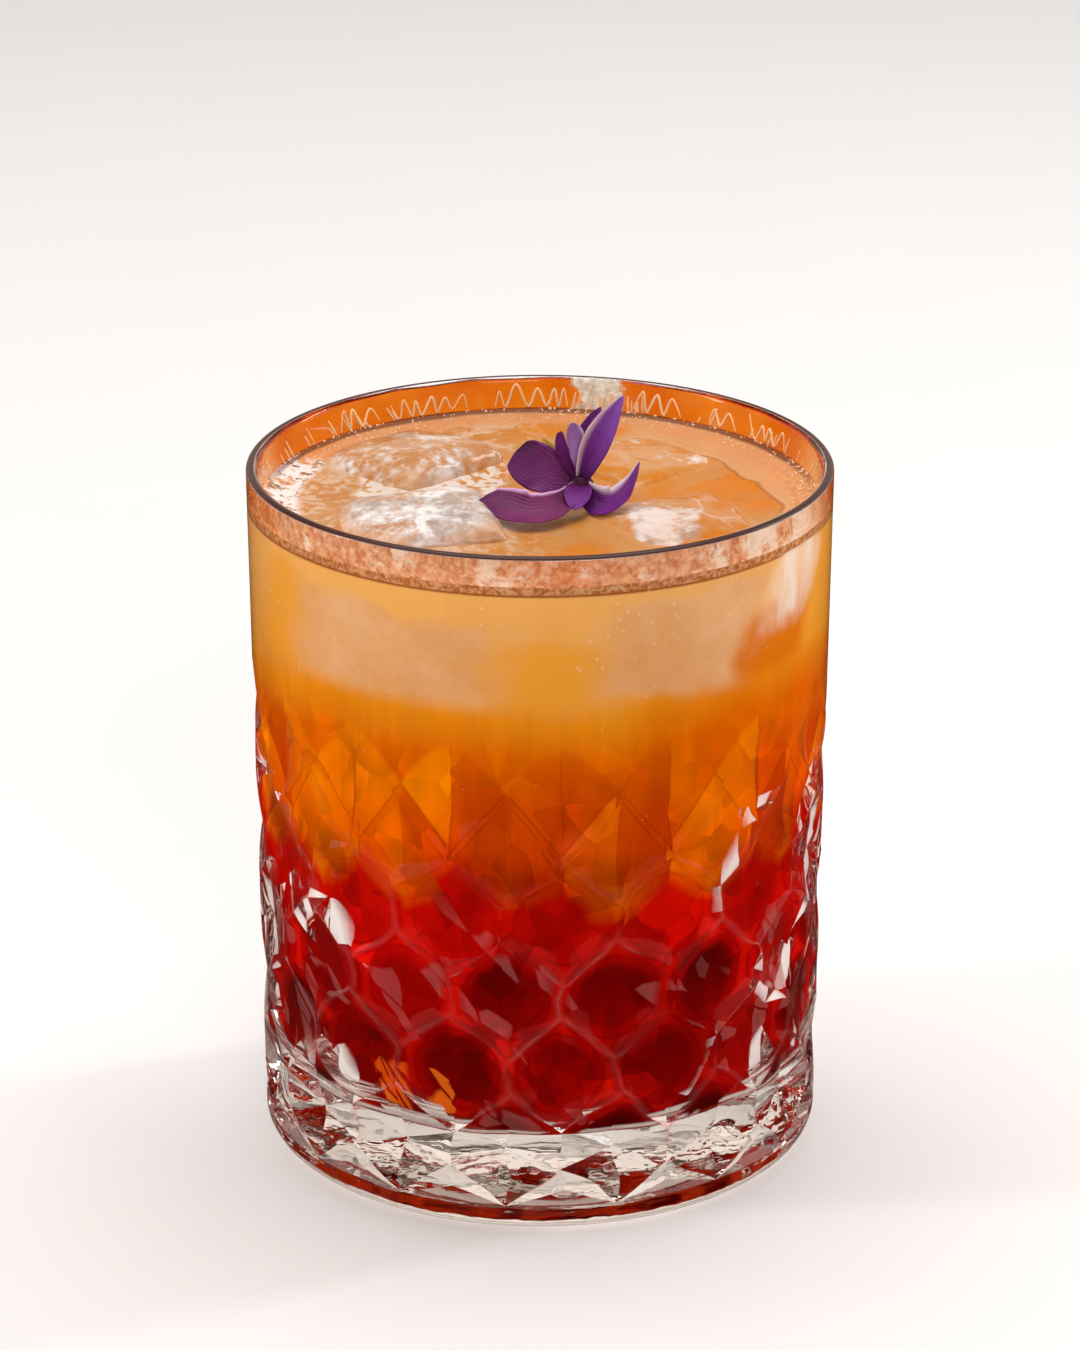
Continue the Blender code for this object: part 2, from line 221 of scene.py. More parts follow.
# Bubbles inside the wall: from and to in degrees, from and to in height in mm, and how many
WALL_BUBBLES = (
    (-80, -30, 80, 97, 130),
    (30, 80, 86, 101, 160),
    # This dense cluster stands in for a bright highlight on the wall, as white beads
    (50, 72, 89, 100, 260),
    (-100, -70, 96, 101, 160),
    (-180, 180, 60, 96, 160),
)

# Ice cubes: sizes in mm and degrees, the dome's height, how white and how clear it looks
Cube = namedtuple("Cube", "name middle size turn tilt_x tilt_y dome white clear")
ICE_CUBES = (
    Cube("ice_front_left", (-16.8, -12.0, 89.2), (23.0, 21.5, 18.0), 14, 3.5, -4.0, 1.7, 0.9, 0.2),
    Cube("ice_back_left", (-18.8, 15.6, 89.3), (22.0, 21.0, 18.0), -42, -4.0, -3.5, 1.8, 0.72, 0.14),
    Cube("ice_front_right", (19.6, -11.0, 88.4), (22.0, 21.5, 17.8), 26, 2.5, 2.0, 0.5, 0.26, 0.22),
    Cube("ice_back_right", (14.6, 16.4, 88.5), (22.0, 21.0, 17.8), 40, -2.0, 3.0, 0.6, 0.14, 0.14),
)
FROSTED_PATCH = (13.5, 22.0, -26.0, -9.0)  # on the front right cube: from x, to x, from y, to y
ICE_BEVEL = 2.8 * MM
ICE_WOBBLE = 0.55 * MM
ICE_INTO_DRINK = 0.1 * MM
ICE_MELT = ((260, 0.35), (700, 0.1))  # scales of the melted hollows, and their depths in mm

# Flower
FLOWER_MIDDLE = Vector((5.9, -2.4, 99.9)) * MM
PETAL_THICKNESS = 0.32 * MM
PETAL_ROOT = 0.06 * MM  # half width that is added all along
VEIN_DEPTH = 0.06 * MM
PETAL_STEPS = 36
PETAL_STEPS_ACROSS = 20
RECEPTACLE_RADIUS = 1.6 * MM
# Name, bow, tip and face as directions in mm, half width in mm, and as shares of the length or
# width: where it is widest, how pointed it is, and how far it cups
PETALS = (
    ("long_left", (-5.4, -14.2, -2.5), (-13.6, -5.4, 0.0), (0.1, -0.5, 0.87), 3.1, 0.78, 0.28, 0.26),
    ("broad_left", (-4.6, 0.6, 0.2), (-9.6, 2.0, 3.9), (0.25, -0.8, 0.5), 3.6, 0.72, 0.26, 0.2),
    ("small_upright", (-2.6, 0.6, 3.2), (-2.9, 0.7, 7.6), (-0.5, -0.8, 0.2), 0.95, 0.7, 0.4, 0.5),
    ("pale_inner", (-0.6, 1.6, 4.0), (-1.3, 2.2, 8.4), (0.3, -0.9, 0.2), 1.3, 0.75, 0.5, 0.3),
    ("rear_tall", (-0.5, 2.6, 5.6), (2.8, 3.2, 10.4), (-0.4, -0.9, 0.1), 1.3, 0.55, 0.9, 0.4),
    ("front_tall", (1.7, -1.2, 6.6), (6.0, 1.6, 12.6), (-0.25, -0.95, 0.15), 2.0, 0.5, 0.9, 0.35),
    ("right_hook", (4.6, -11.0, -3.8), (8.2, -1.8, 3.8), (-0.5, -0.45, 0.75), 2.5, 0.42, 0.9, 0.35),
    ("front_lobe", (-0.4, -3.4, 0.2), (-1.0, -7.4, -1.5), (0.0, -0.5, 0.9), 1.9, 0.6, 0.5, 0.3),
    ("sepal", (-3.0, 3.4, 2.4), (-5.6, 4.2, 5.4), (0.2, -0.8, 0.5), 0.9, 0.5, 0.9, 0.2),
)

# Camera
CAMERA_PLACE = (0.0, -0.6512, 0.3175)
CAMERA_DOWN = 20.83  # degrees below the horizon
LENS_MM = 127.9
SENSOR_MM = 36.0
HORIZON = 0.1  # where the horizon lies on the world's colour ramp


class Nodes:
    """Short ways to build one node tree."""

    def __init__(self, tree):
        self.nodes = tree.nodes
        self.links = tree.links

    def add(self, kind, inputs=None, **settings):
        """A new node with its inputs, named or numbered, fed from a dictionary."""
        node = self.nodes.new(kind)
        for key, value in settings.items():
            setattr(node, key, value)
        for key, value in (inputs or {}).items():
            self.feed(node.inputs[key], value)
        return node

    def feed(self, socket, value):
        """Sets a socket to a number, a colour or a vector, or links it."""
        if isinstance(value, tuple):
            socket.default_value = value if socket.type == "VECTOR" else (*value, 1.0)
        elif isinstance(value, (int, float)):
            socket.default_value = value
        else:
            self.links.new(value, socket)

    def place(self):
        """The place on the object, in its own axes."""
        return self.add("ShaderNodeTexCoord").outputs["Object"]

    def axes(self, vector):
        split = self.add("ShaderNodeSeparateXYZ", {0: vector})
        return [split.outputs[axis] for axis in "XYZ"]

    def attribute(self, name, output="Fac"):
        return self.add("ShaderNodeAttribute", attribute_name=name).outputs[output]

    def math(self, operation, a, b=0.0):
        return self.add("ShaderNodeMath", {0: a, 1: b}, operation=operation).outputs[0]

    def plus(self, a, b):
        return self.math("ADD", a, b)

    def minus(self, a, b):
        return self.math("SUBTRACT", a, b)

    def apart(self, a, b):
        """How far two numbers are from each other."""
        return self.math("ABSOLUTE", self.minus(a, b))

    def product(self, *values):
        result = values[0]
        for value in values[1:]:
            result = self.math("MULTIPLY", result, value)
        return result

    def length(self, x, y):
        return self.math("SQRT", self.plus(self.product(x, x), self.product(y, y)))

    def angle(self, x, y):
        """Radians round from the front."""
        return self.math("ARCTAN2", x, self.product(y, -1.0))

    def span(self, value, low, high, to_low=0.0, to_high=1.0, smooth=False):
        """The value brought from low and high to two others, and held there beyond them."""
        ends = {"From Min": low, "From Max": high, "To Min": to_low, "To Max": to_high}
        kind = "SMOOTHSTEP" if smooth else "LINEAR"
        node = self.add("ShaderNodeMapRange", {"Value": value, **ends}, interpolation_type=kind)
        return node.outputs["Result"]

    def sway(self, value, reach):
        """Noise brought to swing about 0 by this much each way."""
        return self.span(value, 0.3, 0.7, -reach, reach)

    def within(self, value, low, high, soft):
        """1 between low and high, fading to 0 over this much outside."""
        rising = self.span(value, low - soft, low, smooth=True)
        return self.product(rising, self.span(value, high + soft, high, smooth=True))

    def sector(self, angle, west, east, soft):
        """1 between two directions and fading out beside them, all in degrees."""
        return self.within(angle, *(math.radians(turn) for turn in (west, east, soft)))

    def vector_math(self, operation, *values):
        inputs = dict(enumerate(values))
        return self.add("ShaderNodeVectorMath", inputs, operation=operation).outputs[0]

    def stretch(self, vector, scale):
        return self.vector_math("MULTIPLY", vector, scale)

    def noise_node(self, vector, scale, detail=3.0, roughness=0.5, distortion=0.0):
        inputs = {"Scale": scale, "Detail": detail, "Roughness": roughness, "Distortion": distortion}
        return self.add("ShaderNodeTexNoise", {"Vector": vector, **inputs})

    def noise(self, *values):
        return self.noise_node(*values).outputs["Fac"]

    def patches(self, low, high, *values):
        """Noise with hardened edges: 0 below low, 1 above high."""
        return self.span(self.noise(*values), low, high)

    def warped(self, vector, scale, reach, detail=2.0):
        """The place moved about by up to half of reach each way, so that what is drawn there bends."""
        warp = self.noise_node(vector, scale, detail).outputs["Color"]
        centred = self.vector_math("SUBTRACT", warp, (0.5, 0.5, 0.5))
        return self.vector_math("MULTIPLY_ADD", centred, (reach, reach, reach), vector)

    def voronoi(self, vector, scale, feature="F1"):
        return self.add("ShaderNodeTexVoronoi", {"Vector": vector, "Scale": scale}, feature=feature)

    def ramp(self, value, stops):
        """stops: (place, colour) pairs."""
        node = self.add("ShaderNodeValToRGB", {"Fac": value})
        elements = node.color_ramp.elements
        while len(elements) < len(stops):
            elements.new(0.5)
        for element, (place, colour) in zip(elements, stops):
            element.position = place
            element.color = (*colour, 1.0)
        return node.outputs["Color"]

    def mix(self, share, a, b, blend="MIX"):
        inputs = {0: share, 6: a, 7: b}
        return self.add("ShaderNodeMix", inputs, data_type="RGBA", blend_type=blend).outputs[2]

    def over(self, colour, tone, *shares):
        """The colour with a tone laid over it, by the product of the shares."""
        return self.mix(self.product(*shares), colour, tone)

    def tinted(self, share, colour, factor):
        return self.mix(share, colour, factor, "MULTIPLY")

    def blend(self, share, a, b):
        """The number a, or b where share is 1."""
        return self.add("ShaderNodeMix", {0: share, 2: a, 3: b}, data_type="FLOAT").outputs[0]


class Shader(Nodes):
    """The nodes of one material."""

    def __init__(self, name):
        self.material = bpy.data.materials.new(name)
        self.material.use_nodes = True
        super().__init__(self.material.node_tree)
        self.principled = self.nodes["Principled BSDF"]
        self.output = self.nodes["Material Output"]

    def skin(self, colour, roughness, ior=1.5, specular=0.5, clear=0.0):
        """Feeds the shader's own sockets. clear is how much light passes through."""
        values = {"Base Color": colour, "Roughness": roughness, "IOR": ior}
        values.update({"Specular IOR Level": specular, "Transmission Weight": clear})
        for name, value in values.items():
            self.feed(self.principled.inputs[name], value)

    def bump(self, height, distance, strength):
        inputs = {"Strength": strength, "Distance": distance, "Height": height}
        self.feed(self.principled.inputs["Normal"], self.add("ShaderNodeBump", inputs).outputs["Normal"])

    def show_mixed(self, share, other):
        """Shows the skin, or the other shader where share is 1."""
        inputs = {0: share, 1: self.principled.outputs[0], 2: other.outputs[0]}
        self.feed(self.output.inputs["Surface"], self.add("ShaderNodeMixShader", inputs).outputs[0])

    def lets_lamps_through(self, tint):
        """Shadow rays pass, so that what the glass holds is lit."""
        clear = self.add("ShaderNodeBsdfTransparent", {"Color": tint})
        self.show_mixed(self.add("ShaderNodeLightPath").outputs["Is Shadow Ray"], clear)


def srgb(red, green, blue):
    """A colour as seen on a screen, 0 to 255, as linear light."""

    def linear(value):
        value /= 255
        return value / 12.92 if value <= 0.04045 else ((value + 0.055) / 1.055) ** 2.4

    return tuple(linear(v) for v in (red, green, blue))


def placed(name, data):
    """An object that holds this data, in the scene."""
    obj = bpy.data.objects.new(name, data)
    bpy.context.scene.collection.objects.link(obj)
    return obj


def make_object(name, bm, material, sharp=180):
    """A closed mesh as an object, smooth but for edges over this many degrees."""
    bmesh.ops.remove_doubles(bm, verts=bm.verts, dist=SAME_POINT)
    bmesh.ops.recalc_face_normals(bm, faces=bm.faces)
    if bm.calc_volume(signed=True) < 0:
        bmesh.ops.reverse_faces(bm, faces=bm.faces)
    mesh = bpy.data.meshes.new(name)
    bm.to_mesh(mesh)
    bm.free()
    mesh.materials.append(material)
    mesh.shade_smooth()
    if sharp < 180:
        mesh.set_sharp_from_angle(angle=math.radians(sharp))
    return placed(name, mesh)


def stand_for(obj, slot, *nodes):
    """The piece rides on the body and takes the place of these nodes. slot is not used."""
    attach(obj, "root")
    if nodes:
        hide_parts(*nodes)


def wall_radius(z):
    return FOOT_RADIUS + (RIM_RADIUS - FOOT_RADIUS) * z / HEIGHT


def cavity_radius(z):
    low = FLOOR + FLOOR_FILLET
    share = (z - low) / (LEVEL - low)
    return CAVITY_LOW_RADIUS + (CAVITY_LEVEL_RADIUS - CAVITY_LOW_RADIUS) * share


def inner_radius(z):
    """The tumbler's inner radius, also where its wall thins above the drink and rounds off."""
    lip = RIM_WALL / 2
    if z <= LEVEL:
        return cavity_radius(z)
    if z > HEIGHT - lip:
        return RIM_RADIUS - lip - math.sqrt(max(lip**2 - (z - HEIGHT + lip) ** 2, 0.0))
    share = (z - LEVEL) / (HEIGHT - lip - LEVEL)
    return CAVITY_LEVEL_RADIUS + (RIM_RADIUS - RIM_WALL - CAVITY_LEVEL_RADIUS) * share


def round_at(radius, angle, z):
    """The point at this radius and angle from the front."""
    return Vector((radius * math.sin(angle), -radius * math.cos(angle), z))


def at(radius, column, z):
    """The point at this radius, at a place counted in columns from the first."""
    return round_at(radius, FIRST_COLUMN + column * COLUMN_ANGLE, z)


def hand_cut(column, z):
    """The place in the pattern where the wheel really cut, a little off its drawn place."""
    fade = min(max((z - BAND_TOP) / (3 * MM), 0.0), 1.0) * min(max((PLAIN_START - z) / MM, 0.0), 1.0)
    spot = at(1.0, column, z / (14 * MM)) * 1.3
    aside = noise.noise(spot * 2.3)
    up = noise.noise(spot * 2.3 + Vector((5, 5, 5)))
    return column + CUT_WANDER[0] * fade * aside, z + CUT_WANDER[1] * fade * up


def on_wall(column, z, depth=0.0):
    column, z = hand_cut(column, z)
    return at(wall_radius(z) - depth, column, z)


def split_edges(corners, steps):
    """A polygon's corners with each edge split into its number of steps."""
    points = []
    for i, (a, n) in enumerate(zip(corners, steps)):
        b = corners[(i + 1) % len(corners)]
        points += [(a[0] + (b[0] - a[0]) * k / n, a[1] + (b[1] - a[1]) * k / n) for k in range(n)]
    return points


def join(bm, low, high, closed=True):
    """Faces between two lines of points, also from end to start where they are closed."""
    count = len(low)
    for i in range(count if closed else count - 1):
        j = (i + 1) % count
        bm.faces.new((low[i], low[j], high[j], high[i]))


def fan(bm, ring, middle):
    middle = bm.verts.new(middle)
    for i, point in enumerate(ring):
        bm.faces.new((point, ring[(i + 1) % len(ring)], middle))


def add_cell(bm, corners, steps, scoop, flat=False):
    """A cell between ridges that lie on the wall, dished or with one flat facet to each edge."""
    worn = bm.verts.layers.float["ridge"]
    outline = split_edges(corners, steps)
    middle = tuple(sum(p[i] for p in corners) / len(corners) for i in (0, 1))
    rings = []
    for share in CELL_RINGS:
        depth = scoop * (share if flat else 1 - (1 - share) ** 2)
        places = [(u + (middle[0] - u) * share, z + (middle[1] - z) * share) for u, z in outline]
        rings.append([bm.verts.new(on_wall(u, z, depth)) for u, z in places])
        # Nearness to the ridge, for its worn frosted line and its painted highlight
        for vert in rings[-1]:
            vert[worn] = max(1 - share / RIDGE_FADE, 0.0)
    for outer, inner in zip(rings, rings[1:]):
        join(bm, outer, inner)
    fan(bm, rings[-1], on_wall(*middle, scoop))


def arch_height(offset):
    """Height of a mitre cut's arched top edge, offset columns from its valley."""
    return CUT_SIDE + (CUT_TIP - CUT_SIDE) * (1 - abs(2 * offset) ** ARCH_POWER)


def cut_outline():
    """Half widths and heights up one side of a mitre cut, from its foot to its tip."""
    n = STEPS_PER_HALF
    lower = [(0.5 * k / n, JOINT_TOP + (CUT_SIDE - JOINT_TOP) * k / n) for k in range(n)]
    upper = [(0.5 - 0.5 * k / n, arch_height(0.5 - 0.5 * k / n)) for k in range(n + 1)]
    return lower + upper


def valley_depth(z):
    """Depth of a mitre cut's valley, shallow at both ends as a wheel leaves it."""
    share = (z - JOINT_TOP) / (CUT_TIP - JOINT_TOP)
    return CUT_DEPTH * math.sin(math.pi * share) ** 0.7 if 0 < share < 1 else 0.0


def add_mitre_cut(bm, column):
    """A pointed V-shaped cut: two sloping faces that meet in an upright valley."""
    worn = bm.verts.layers.float["ridge"]
    for side in (-1, 1):
        rows = []
        for width, z in cut_outline():
            depth = valley_depth(z)
            across = [(column + side * width * t, depth * (1 - t)) for t in CUT_STEPS]
            row = [bm.verts.new(on_wall(u, z, deep)) for u, deep in across]
            # Nearness to the edges, for their worn frosted lines and their painted highlight
            for vert, t in zip(row, CUT_STEPS):
                vert[worn] = max(1 - (1 - t) / RIDGE_FADE, 0.4 * (1 - t / RIDGE_FADE), 0.0)
            rows.append(row)
        for low, high in zip(rows, rows[1:]):
            join(bm, low, high, closed=False)


def row_corners(column, top):
    """Corners of one honeycomb cell, from its top point down its right side and back up its left."""
    high, low = top - RISE, top - RISE - UPRIGHT
    return [
        (column, top),
        (column + 0.5, high),
        (column + 0.5, low),
        (column, low - RISE),
        (column - 0.5, low),
        (column - 0.5, high),
    ]


def add_pattern(bm):
    n, m = STEPS_PER_HALF, UPRIGHT_STEPS
    for c in range(COLUMNS):
        add_mitre_cut(bm, c)
        half = c + 0.5
        diamond = [(half, CUT_SIDE), (c + 1, JOINT_TOP), (half, JOINT_TOP - RISE), (c, JOINT_TOP)]
        add_cell(bm, diamond, (n, n, n, n), TOP_SCOOP)
        for row in range(ROWS):
            column = c + 0.5 * (row % 2)
            top = JOINT_TOP - row * (RISE + UPRIGHT)
            add_cell(bm, row_corners(column, top), (n, m, n, n, m, n), SCOOP)
        low = row_corners(half, JOINT_TOP - ROWS * (RISE + UPRIGHT))
        low[3] = (half, BAND_TOP)
        add_cell(bm, low, (n, m, n, n, m, n), SCOOP, flat=True)
        wedge = [(c, low[2][1]), (half, BAND_TOP), (c - 0.5, BAND_TOP)]
        add_cell(bm, wedge, (n, 2 * n, n), FOOT_SCOOP, flat=True)


def add_band(bm, rings):
    """Faces between rings of points, each ring a list of the same length."""
    made = [[bm.verts.new(p) for p in ring] for ring in rings]
    for low, high in zip(made, made[1:]):
        join(bm, low, high)
    return made


def columns_round():
    """The places round the tumbler at which its plain surfaces have points."""
    n = 2 * STEPS_PER_HALF
    return [c + k / n - 0.5 for c in range(COLUMNS) for k in range(n)]


def turned(radius, z):
    return [at(radius, u, z) for u in columns_round()]


def spread(low, high, count):
    """Evenly spread numbers, both ends included."""
    return [low + (high - low) * k / count for k in range(count + 1)]


def fillet_profile(radius, low, fillet, steps=10):
    """(radius, height) round an inner corner, from the wall down to the floor."""
    turns = [math.pi / 2 * k / steps for k in range(steps + 1)]
    return [(radius - fillet + fillet * math.cos(a), low + fillet - fillet * math.sin(a)) for a in turns]


def add_wall(bm):
    """The plain wall over the cuts, the lip, and the cavity down to its floor."""
    columns = columns_round()
    arches = [arch_height(u - math.floor(u + 0.5)) for u in columns]
    lip = RIM_WALL / 2
    lip_height, lip_radius = HEIGHT - lip, RIM_RADIUS - lip
    rings = [[on_wall(u, z + lift) for u, z in zip(columns, arches)] for lift in (0, 0.3 * MM, MM)]
    rings += [[on_wall(u, z) for u in columns] for z in spread(PLAIN_START, lip_height - MM, WALL_STEPS)]
    arc = spread(0, math.pi, LIP_STEPS)
    rings += [turned(lip_radius + lip * math.cos(a), lip_height + lip * math.sin(a)) for a in arc]
    rings += [turned(inner_radius(z), z) for z in spread(LEVEL, FLOOR + FLOOR_FILLET, CAVITY_STEPS)]
    rings += [turned(r, z) for r, z in fillet_profile(CAVITY_LOW_RADIUS, FLOOR, FLOOR_FILLET)[1:]]
    floor_radius = CAVITY_LOW_RADIUS - FLOOR_FILLET
    rings += [turned(r, FLOOR) for r in spread(floor_radius, FLOOR_LAST_RING, FLOOR_STEPS)[1:]]
    fan(bm, add_band(bm, rings)[-1], (0, 0, FLOOR))
    # How much of the lip's painted dark line each point gets
    darkened = bm.verts.layers.float["lip"]
    for vert in bm.verts:
        if vert.co.z > lip_height:
            out = math.hypot(vert.co.x, vert.co.y) - lip_radius
            turn = math.degrees(math.atan2(vert.co.z - lip_height, out))
            outside = max(LIP_DARK_LINE[0] - turn, turn - LIP_DARK_LINE[1])
            vert[darkened] = min(max(1 - outside / LIP_DARK_LINE_FADE, 0.0), 1.0)


def add_foot(bm):
    """The rounded foot ring and the shallow hollow inside it."""
    foot_radius = wall_radius(FOOT_EDGE)
    rings = [turned(wall_radius(BAND_TOP), BAND_TOP)]
    rings += [turned(r, z) for r, z in fillet_profile(foot_radius, 0.0, FOOT_EDGE)]
    ring_inside = foot_radius - FOOT_EDGE - FOOT_RING_WIDTH
    for share in spread(0, 1, PUNT_STEPS):
        rise = PUNT_DEPTH * (3 * share**2 - 2 * share**3)
        rings.append(turned(ring_inside - 2 * PUNT_DEPTH * share, rise))
    fan(bm, add_band(bm, rings)[-1], (0, 0, PUNT_DEPTH))


def make_tumbler():
    bm = bmesh.new()
    bm.verts.layers.float.new("ridge")
    bm.verts.layers.float.new("lip")
    add_pattern(bm)
    add_wall(bm)
    add_foot(bm)
    tumbler = make_object("cut_glass_tumbler", bm, glass_material(), GLASS_CREASE)
    stand_for(tumbler, "clear_glass", "tumbler")


def glass_material():
    """Clear cut glass, a little uneven, its ridges worn to fine broken frosted lines that carry a painted
    highlight in the drink's red and orange.

    A dark line of painted shade runs over the lip, in place of a dark reflection.
    """
    s = Shader("cut_crystal")
    ridge, lip = s.attribute("ridge"), s.attribute("lip")
    place = s.place()
    _, _, z = s.axes(place)
    low_part = s.span(z, 9 * MM, 16 * MM, 0.2, 1.0)
    high_part = s.span(z, 46 * MM, 54 * MM, 1.0, 0.03)
    soft = s.product(ridge, s.patches(0.44, 0.58, place, 50.0, 2.0), low_part, high_part)
    core = s.product(s.span(ridge, 0.66, 1.0), s.patches(0.56, 0.66, place, 80.0, 3.0, 0.6), high_part)
    # Painted highlight: the ridge lines take the drink's red low down and its orange higher up, as if the
    # juice behind lit them
    drink_glow = s.ramp(s.span(z, 48 * MM, 60 * MM), ((0.0, (0.9, 0.2, 0.15)), (1.0, (0.96, 0.5, 0.16))))
    plain = s.mix(s.span(z, 11 * MM, 16 * MM), (0.94, 0.89, 0.83), (0.99, 0.985, 0.98))
    colour = s.mix(s.product(soft, 0.8), plain, drink_glow)
    # Painted highlight: a pinkish red on the ridges' cores
    colour = s.mix(core, colour, (0.98, 0.34, 0.24))
    # Painted dark reflection: an opaque dark brown line on the lip
    lip_line = s.span(lip, 0.1, 0.9, smooth=True)
    colour = s.mix(lip_line, colour, srgb(58, 18, 8))
    frost = s.plus(s.product(soft, 0.05), s.product(core, 0.15))
    frost = s.math("MAXIMUM", frost, s.product(lip_line, 0.9))
    s.skin(colour, s.product(frost, 0.4), clear=s.minus(1.0, frost))
    crinkled = s.product(s.noise(place, 230.0, 2.0), s.span(z, 16 * MM, 11 * MM), 0.5)
    uneven = s.product(s.noise(place, 70.0, 1.0), s.span(z, CUT_SIDE, CUT_TIP, 1.0, 0.0))
    s.bump(s.plus(uneven, crinkled), 1.0 * MM, 0.3)
    s.feed(s.principled.inputs["Specular Tint"], (0.6, 0.58, 0.55))
    s.lets_lamps_through((0.97, 0.965, 0.96))
    return s.material


ICE_JUICE = {
    "left": (srgb(198, 138, 84), srgb(212, 172, 134)),
    "right": (srgb(216, 130, 36), srgb(212, 150, 88)),
}


def worn_cube(cube):
    """A worn cube of ice about the origin."""
    bm = bmesh.new()
    bmesh.ops.create_cube(bm, size=1.0)
    bmesh.ops.scale(bm, vec=Vector(cube.size) * MM, verts=bm.verts)
    edges = list(bm.edges) + list(bm.verts)
    bmesh.ops.bevel(bm, geom=edges, offset=ICE_BEVEL, segments=2, profile=0.6, affect="EDGES")
    bmesh.ops.triangulate(bm, faces=bm.faces)
    rng = random.Random(cube.name)
    for vert in bm.verts:
        vert.co += Vector([rng.uniform(-1, 1) for _ in range(3)]) * ICE_WOBBLE
    return bm


def ice_matrix(cube):
    return (
        Matrix.Translation(Vector(cube.middle) * MM)
        @ Matrix.Rotation(math.radians(cube.tilt_x), 4, "X")
        @ Matrix.Rotation(math.radians(cube.tilt_y), 4, "Y")
        @ Matrix.Rotation(math.radians(cube.turn), 4, "Z")
    )


def applied(obj):
    """The object's mesh with its modifiers applied, in place of its own."""
    graph = bpy.context.evaluated_depsgraph_get()
    mesh = bpy.data.meshes.new_from_object(obj.evaluated_get(graph))
    obj.modifiers.clear()
    obj.data = mesh


def melting_cube(cube):
    """The worn cube with melted faces, as a smooth mesh in place."""
    obj = make_object(cube.name + "_melting", worn_cube(cube), ice_material(cube))
    smooth = obj.modifiers.new("round", "SUBSURF")
    smooth.levels = smooth.render_levels = 3
    applied(obj)
    rng = random.Random(cube.name + "_melt")
    shift = Vector([rng.uniform(-9, 9) for _ in range(3)])
    wide, deep, high = (s / 2 * MM for s in cube.size)
    for vert in obj.data.vertices:
        melt = sum(noise.noise(vert.co * scale + shift) * depth for scale, depth in ICE_MELT)
        dome = max(1 - (vert.co.x / wide) ** 4, 0) * max(1 - (vert.co.y / deep) ** 4, 0)
        if vert.co.z > 0.5 * high:
            vert.co.z += cube.dome * dome * MM
        vert.co += vert.normal * melt * MM
    obj.data.transform(ice_matrix(cube))
    obj.data.shade_smooth()
    return obj


def ice_material(cube):
    """Wet ice with juice run over it: cloudy white, grainy tan and clear patches, and cracks.

    It is whitest about its middle, and tan where it dips into the drink.
    """
    s = Shader(cube.name + "_clear_ice")
    place = s.place()
    x, y, _ = s.axes(s.warped(place, 120.0, 4 * MM))
    cloud = s.noise(place, 75.0, 4.0, 0.6, 0.6)
    grain = s.noise(place, 620.0, 3.0, 0.65)
    rough = s.plus(cloud, s.sway(grain, 0.09))
    half = (1.0 - cube.white) * 0.34
    out = s.length(s.minus(x, cube.middle[0] * MM), s.minus(y, cube.middle[1] * MM))
    white = s.span(rough, 0.31 + half, 0.49 + half)
    white = s.product(white, s.span(out, 13 * MM, 9 * MM, smooth=True))
    if cube.name == "ice_front_right":
        west, east, south, north = (edge * MM for edge in FROSTED_PATCH)
        inside = s.product(s.within(x, west, east, 1.5 * MM), s.within(y, south, north, 1.5 * MM))
        inside = s.span(s.plus(inside, s.sway(rough, 0.25)), 0.25, 1.05)
        white = s.math("MAXIMUM", white, s.product(inside, 0.75))
    cracks = s.voronoi(s.warped(place, 160.0, 5 * MM), 95.0, "DISTANCE_TO_EDGE")
    line = s.span(cracks.outputs["Distance"], 0.0, 0.035, 1.0, 0.0)
    line = s.product(line, s.patches(0.52, 0.6, place, 60.0, 2.0), 0.4)
    juice = s.mix(s.span(rough, 0.36, 0.56), *ICE_JUICE["left" if "left" in cube.name else "right"])
    shade = s.plus(s.noise(place, 150.0, 4.0, 0.6, 0.8), s.sway(grain, 0.08))
    pale = s.mix(s.span(shade, 0.38, 0.58), srgb(174, 154, 142), srgb(240, 237, 236))
    colour = s.mix(line, s.mix(white, juice, pale), srgb(240, 222, 204))
    s.skin(colour, 0.12, 1.31, clear=s.span(white, 0.0, 1.0, cube.clear, 0.08))
    s.bump(s.plus(s.noise(place, 170.0, 2.0, 0.5), s.product(grain, 0.22)), 0.45 * MM, 0.6)
    s.lets_lamps_through((0.97, 0.97, 0.97))
    return s.material


def make_ice():
    pieces = [melting_cube(cube) for cube in ICE_CUBES]
    for piece, cube in zip(pieces, ICE_CUBES):
        stand_for(piece, "ice", cube.name)
    return pieces


INTO_ICE = [ice_matrix(cube).inverted() for cube in ICE_CUBES]


def box_distance(point, size):
    """How far a point is from a box about the origin, below 0 inside."""
    outside = [abs(p) - s / 2 for p, s in zip(point, size)]
    reach = math.sqrt(sum(max(d, 0.0) ** 2 for d in outside))
    return reach + min(max(outside), 0.0)


def ice_distance(point):
    """How far a point is from the nearest ice cube."""
    rounding = 2 * ICE_BEVEL
    found = []
    for inverse, cube in zip(INTO_ICE, ICE_CUBES):
        core = [s * MM - rounding for s in cube.size]
        found.append(box_distance(inverse @ point, core) - rounding / 2)
    return min(found)


def surface_height(point, from_wall):
    """Height of the drink's surface: it climbs a little at the wall and round the ice."""
    climb = MENISCUS * math.exp(-from_wall / MENISCUS_REACH)
    at_ice = max(ice_distance(Vector((point.x, point.y, LEVEL))), 0.0)
    climb += ICE_MENISCUS * math.exp(-at_ice / ICE_MENISCUS_REACH)
    ripple = noise.noise(Vector((point.x, point.y, 0)) * RIPPLE_SCALE) * RIPPLE
    return LEVEL + climb + ripple


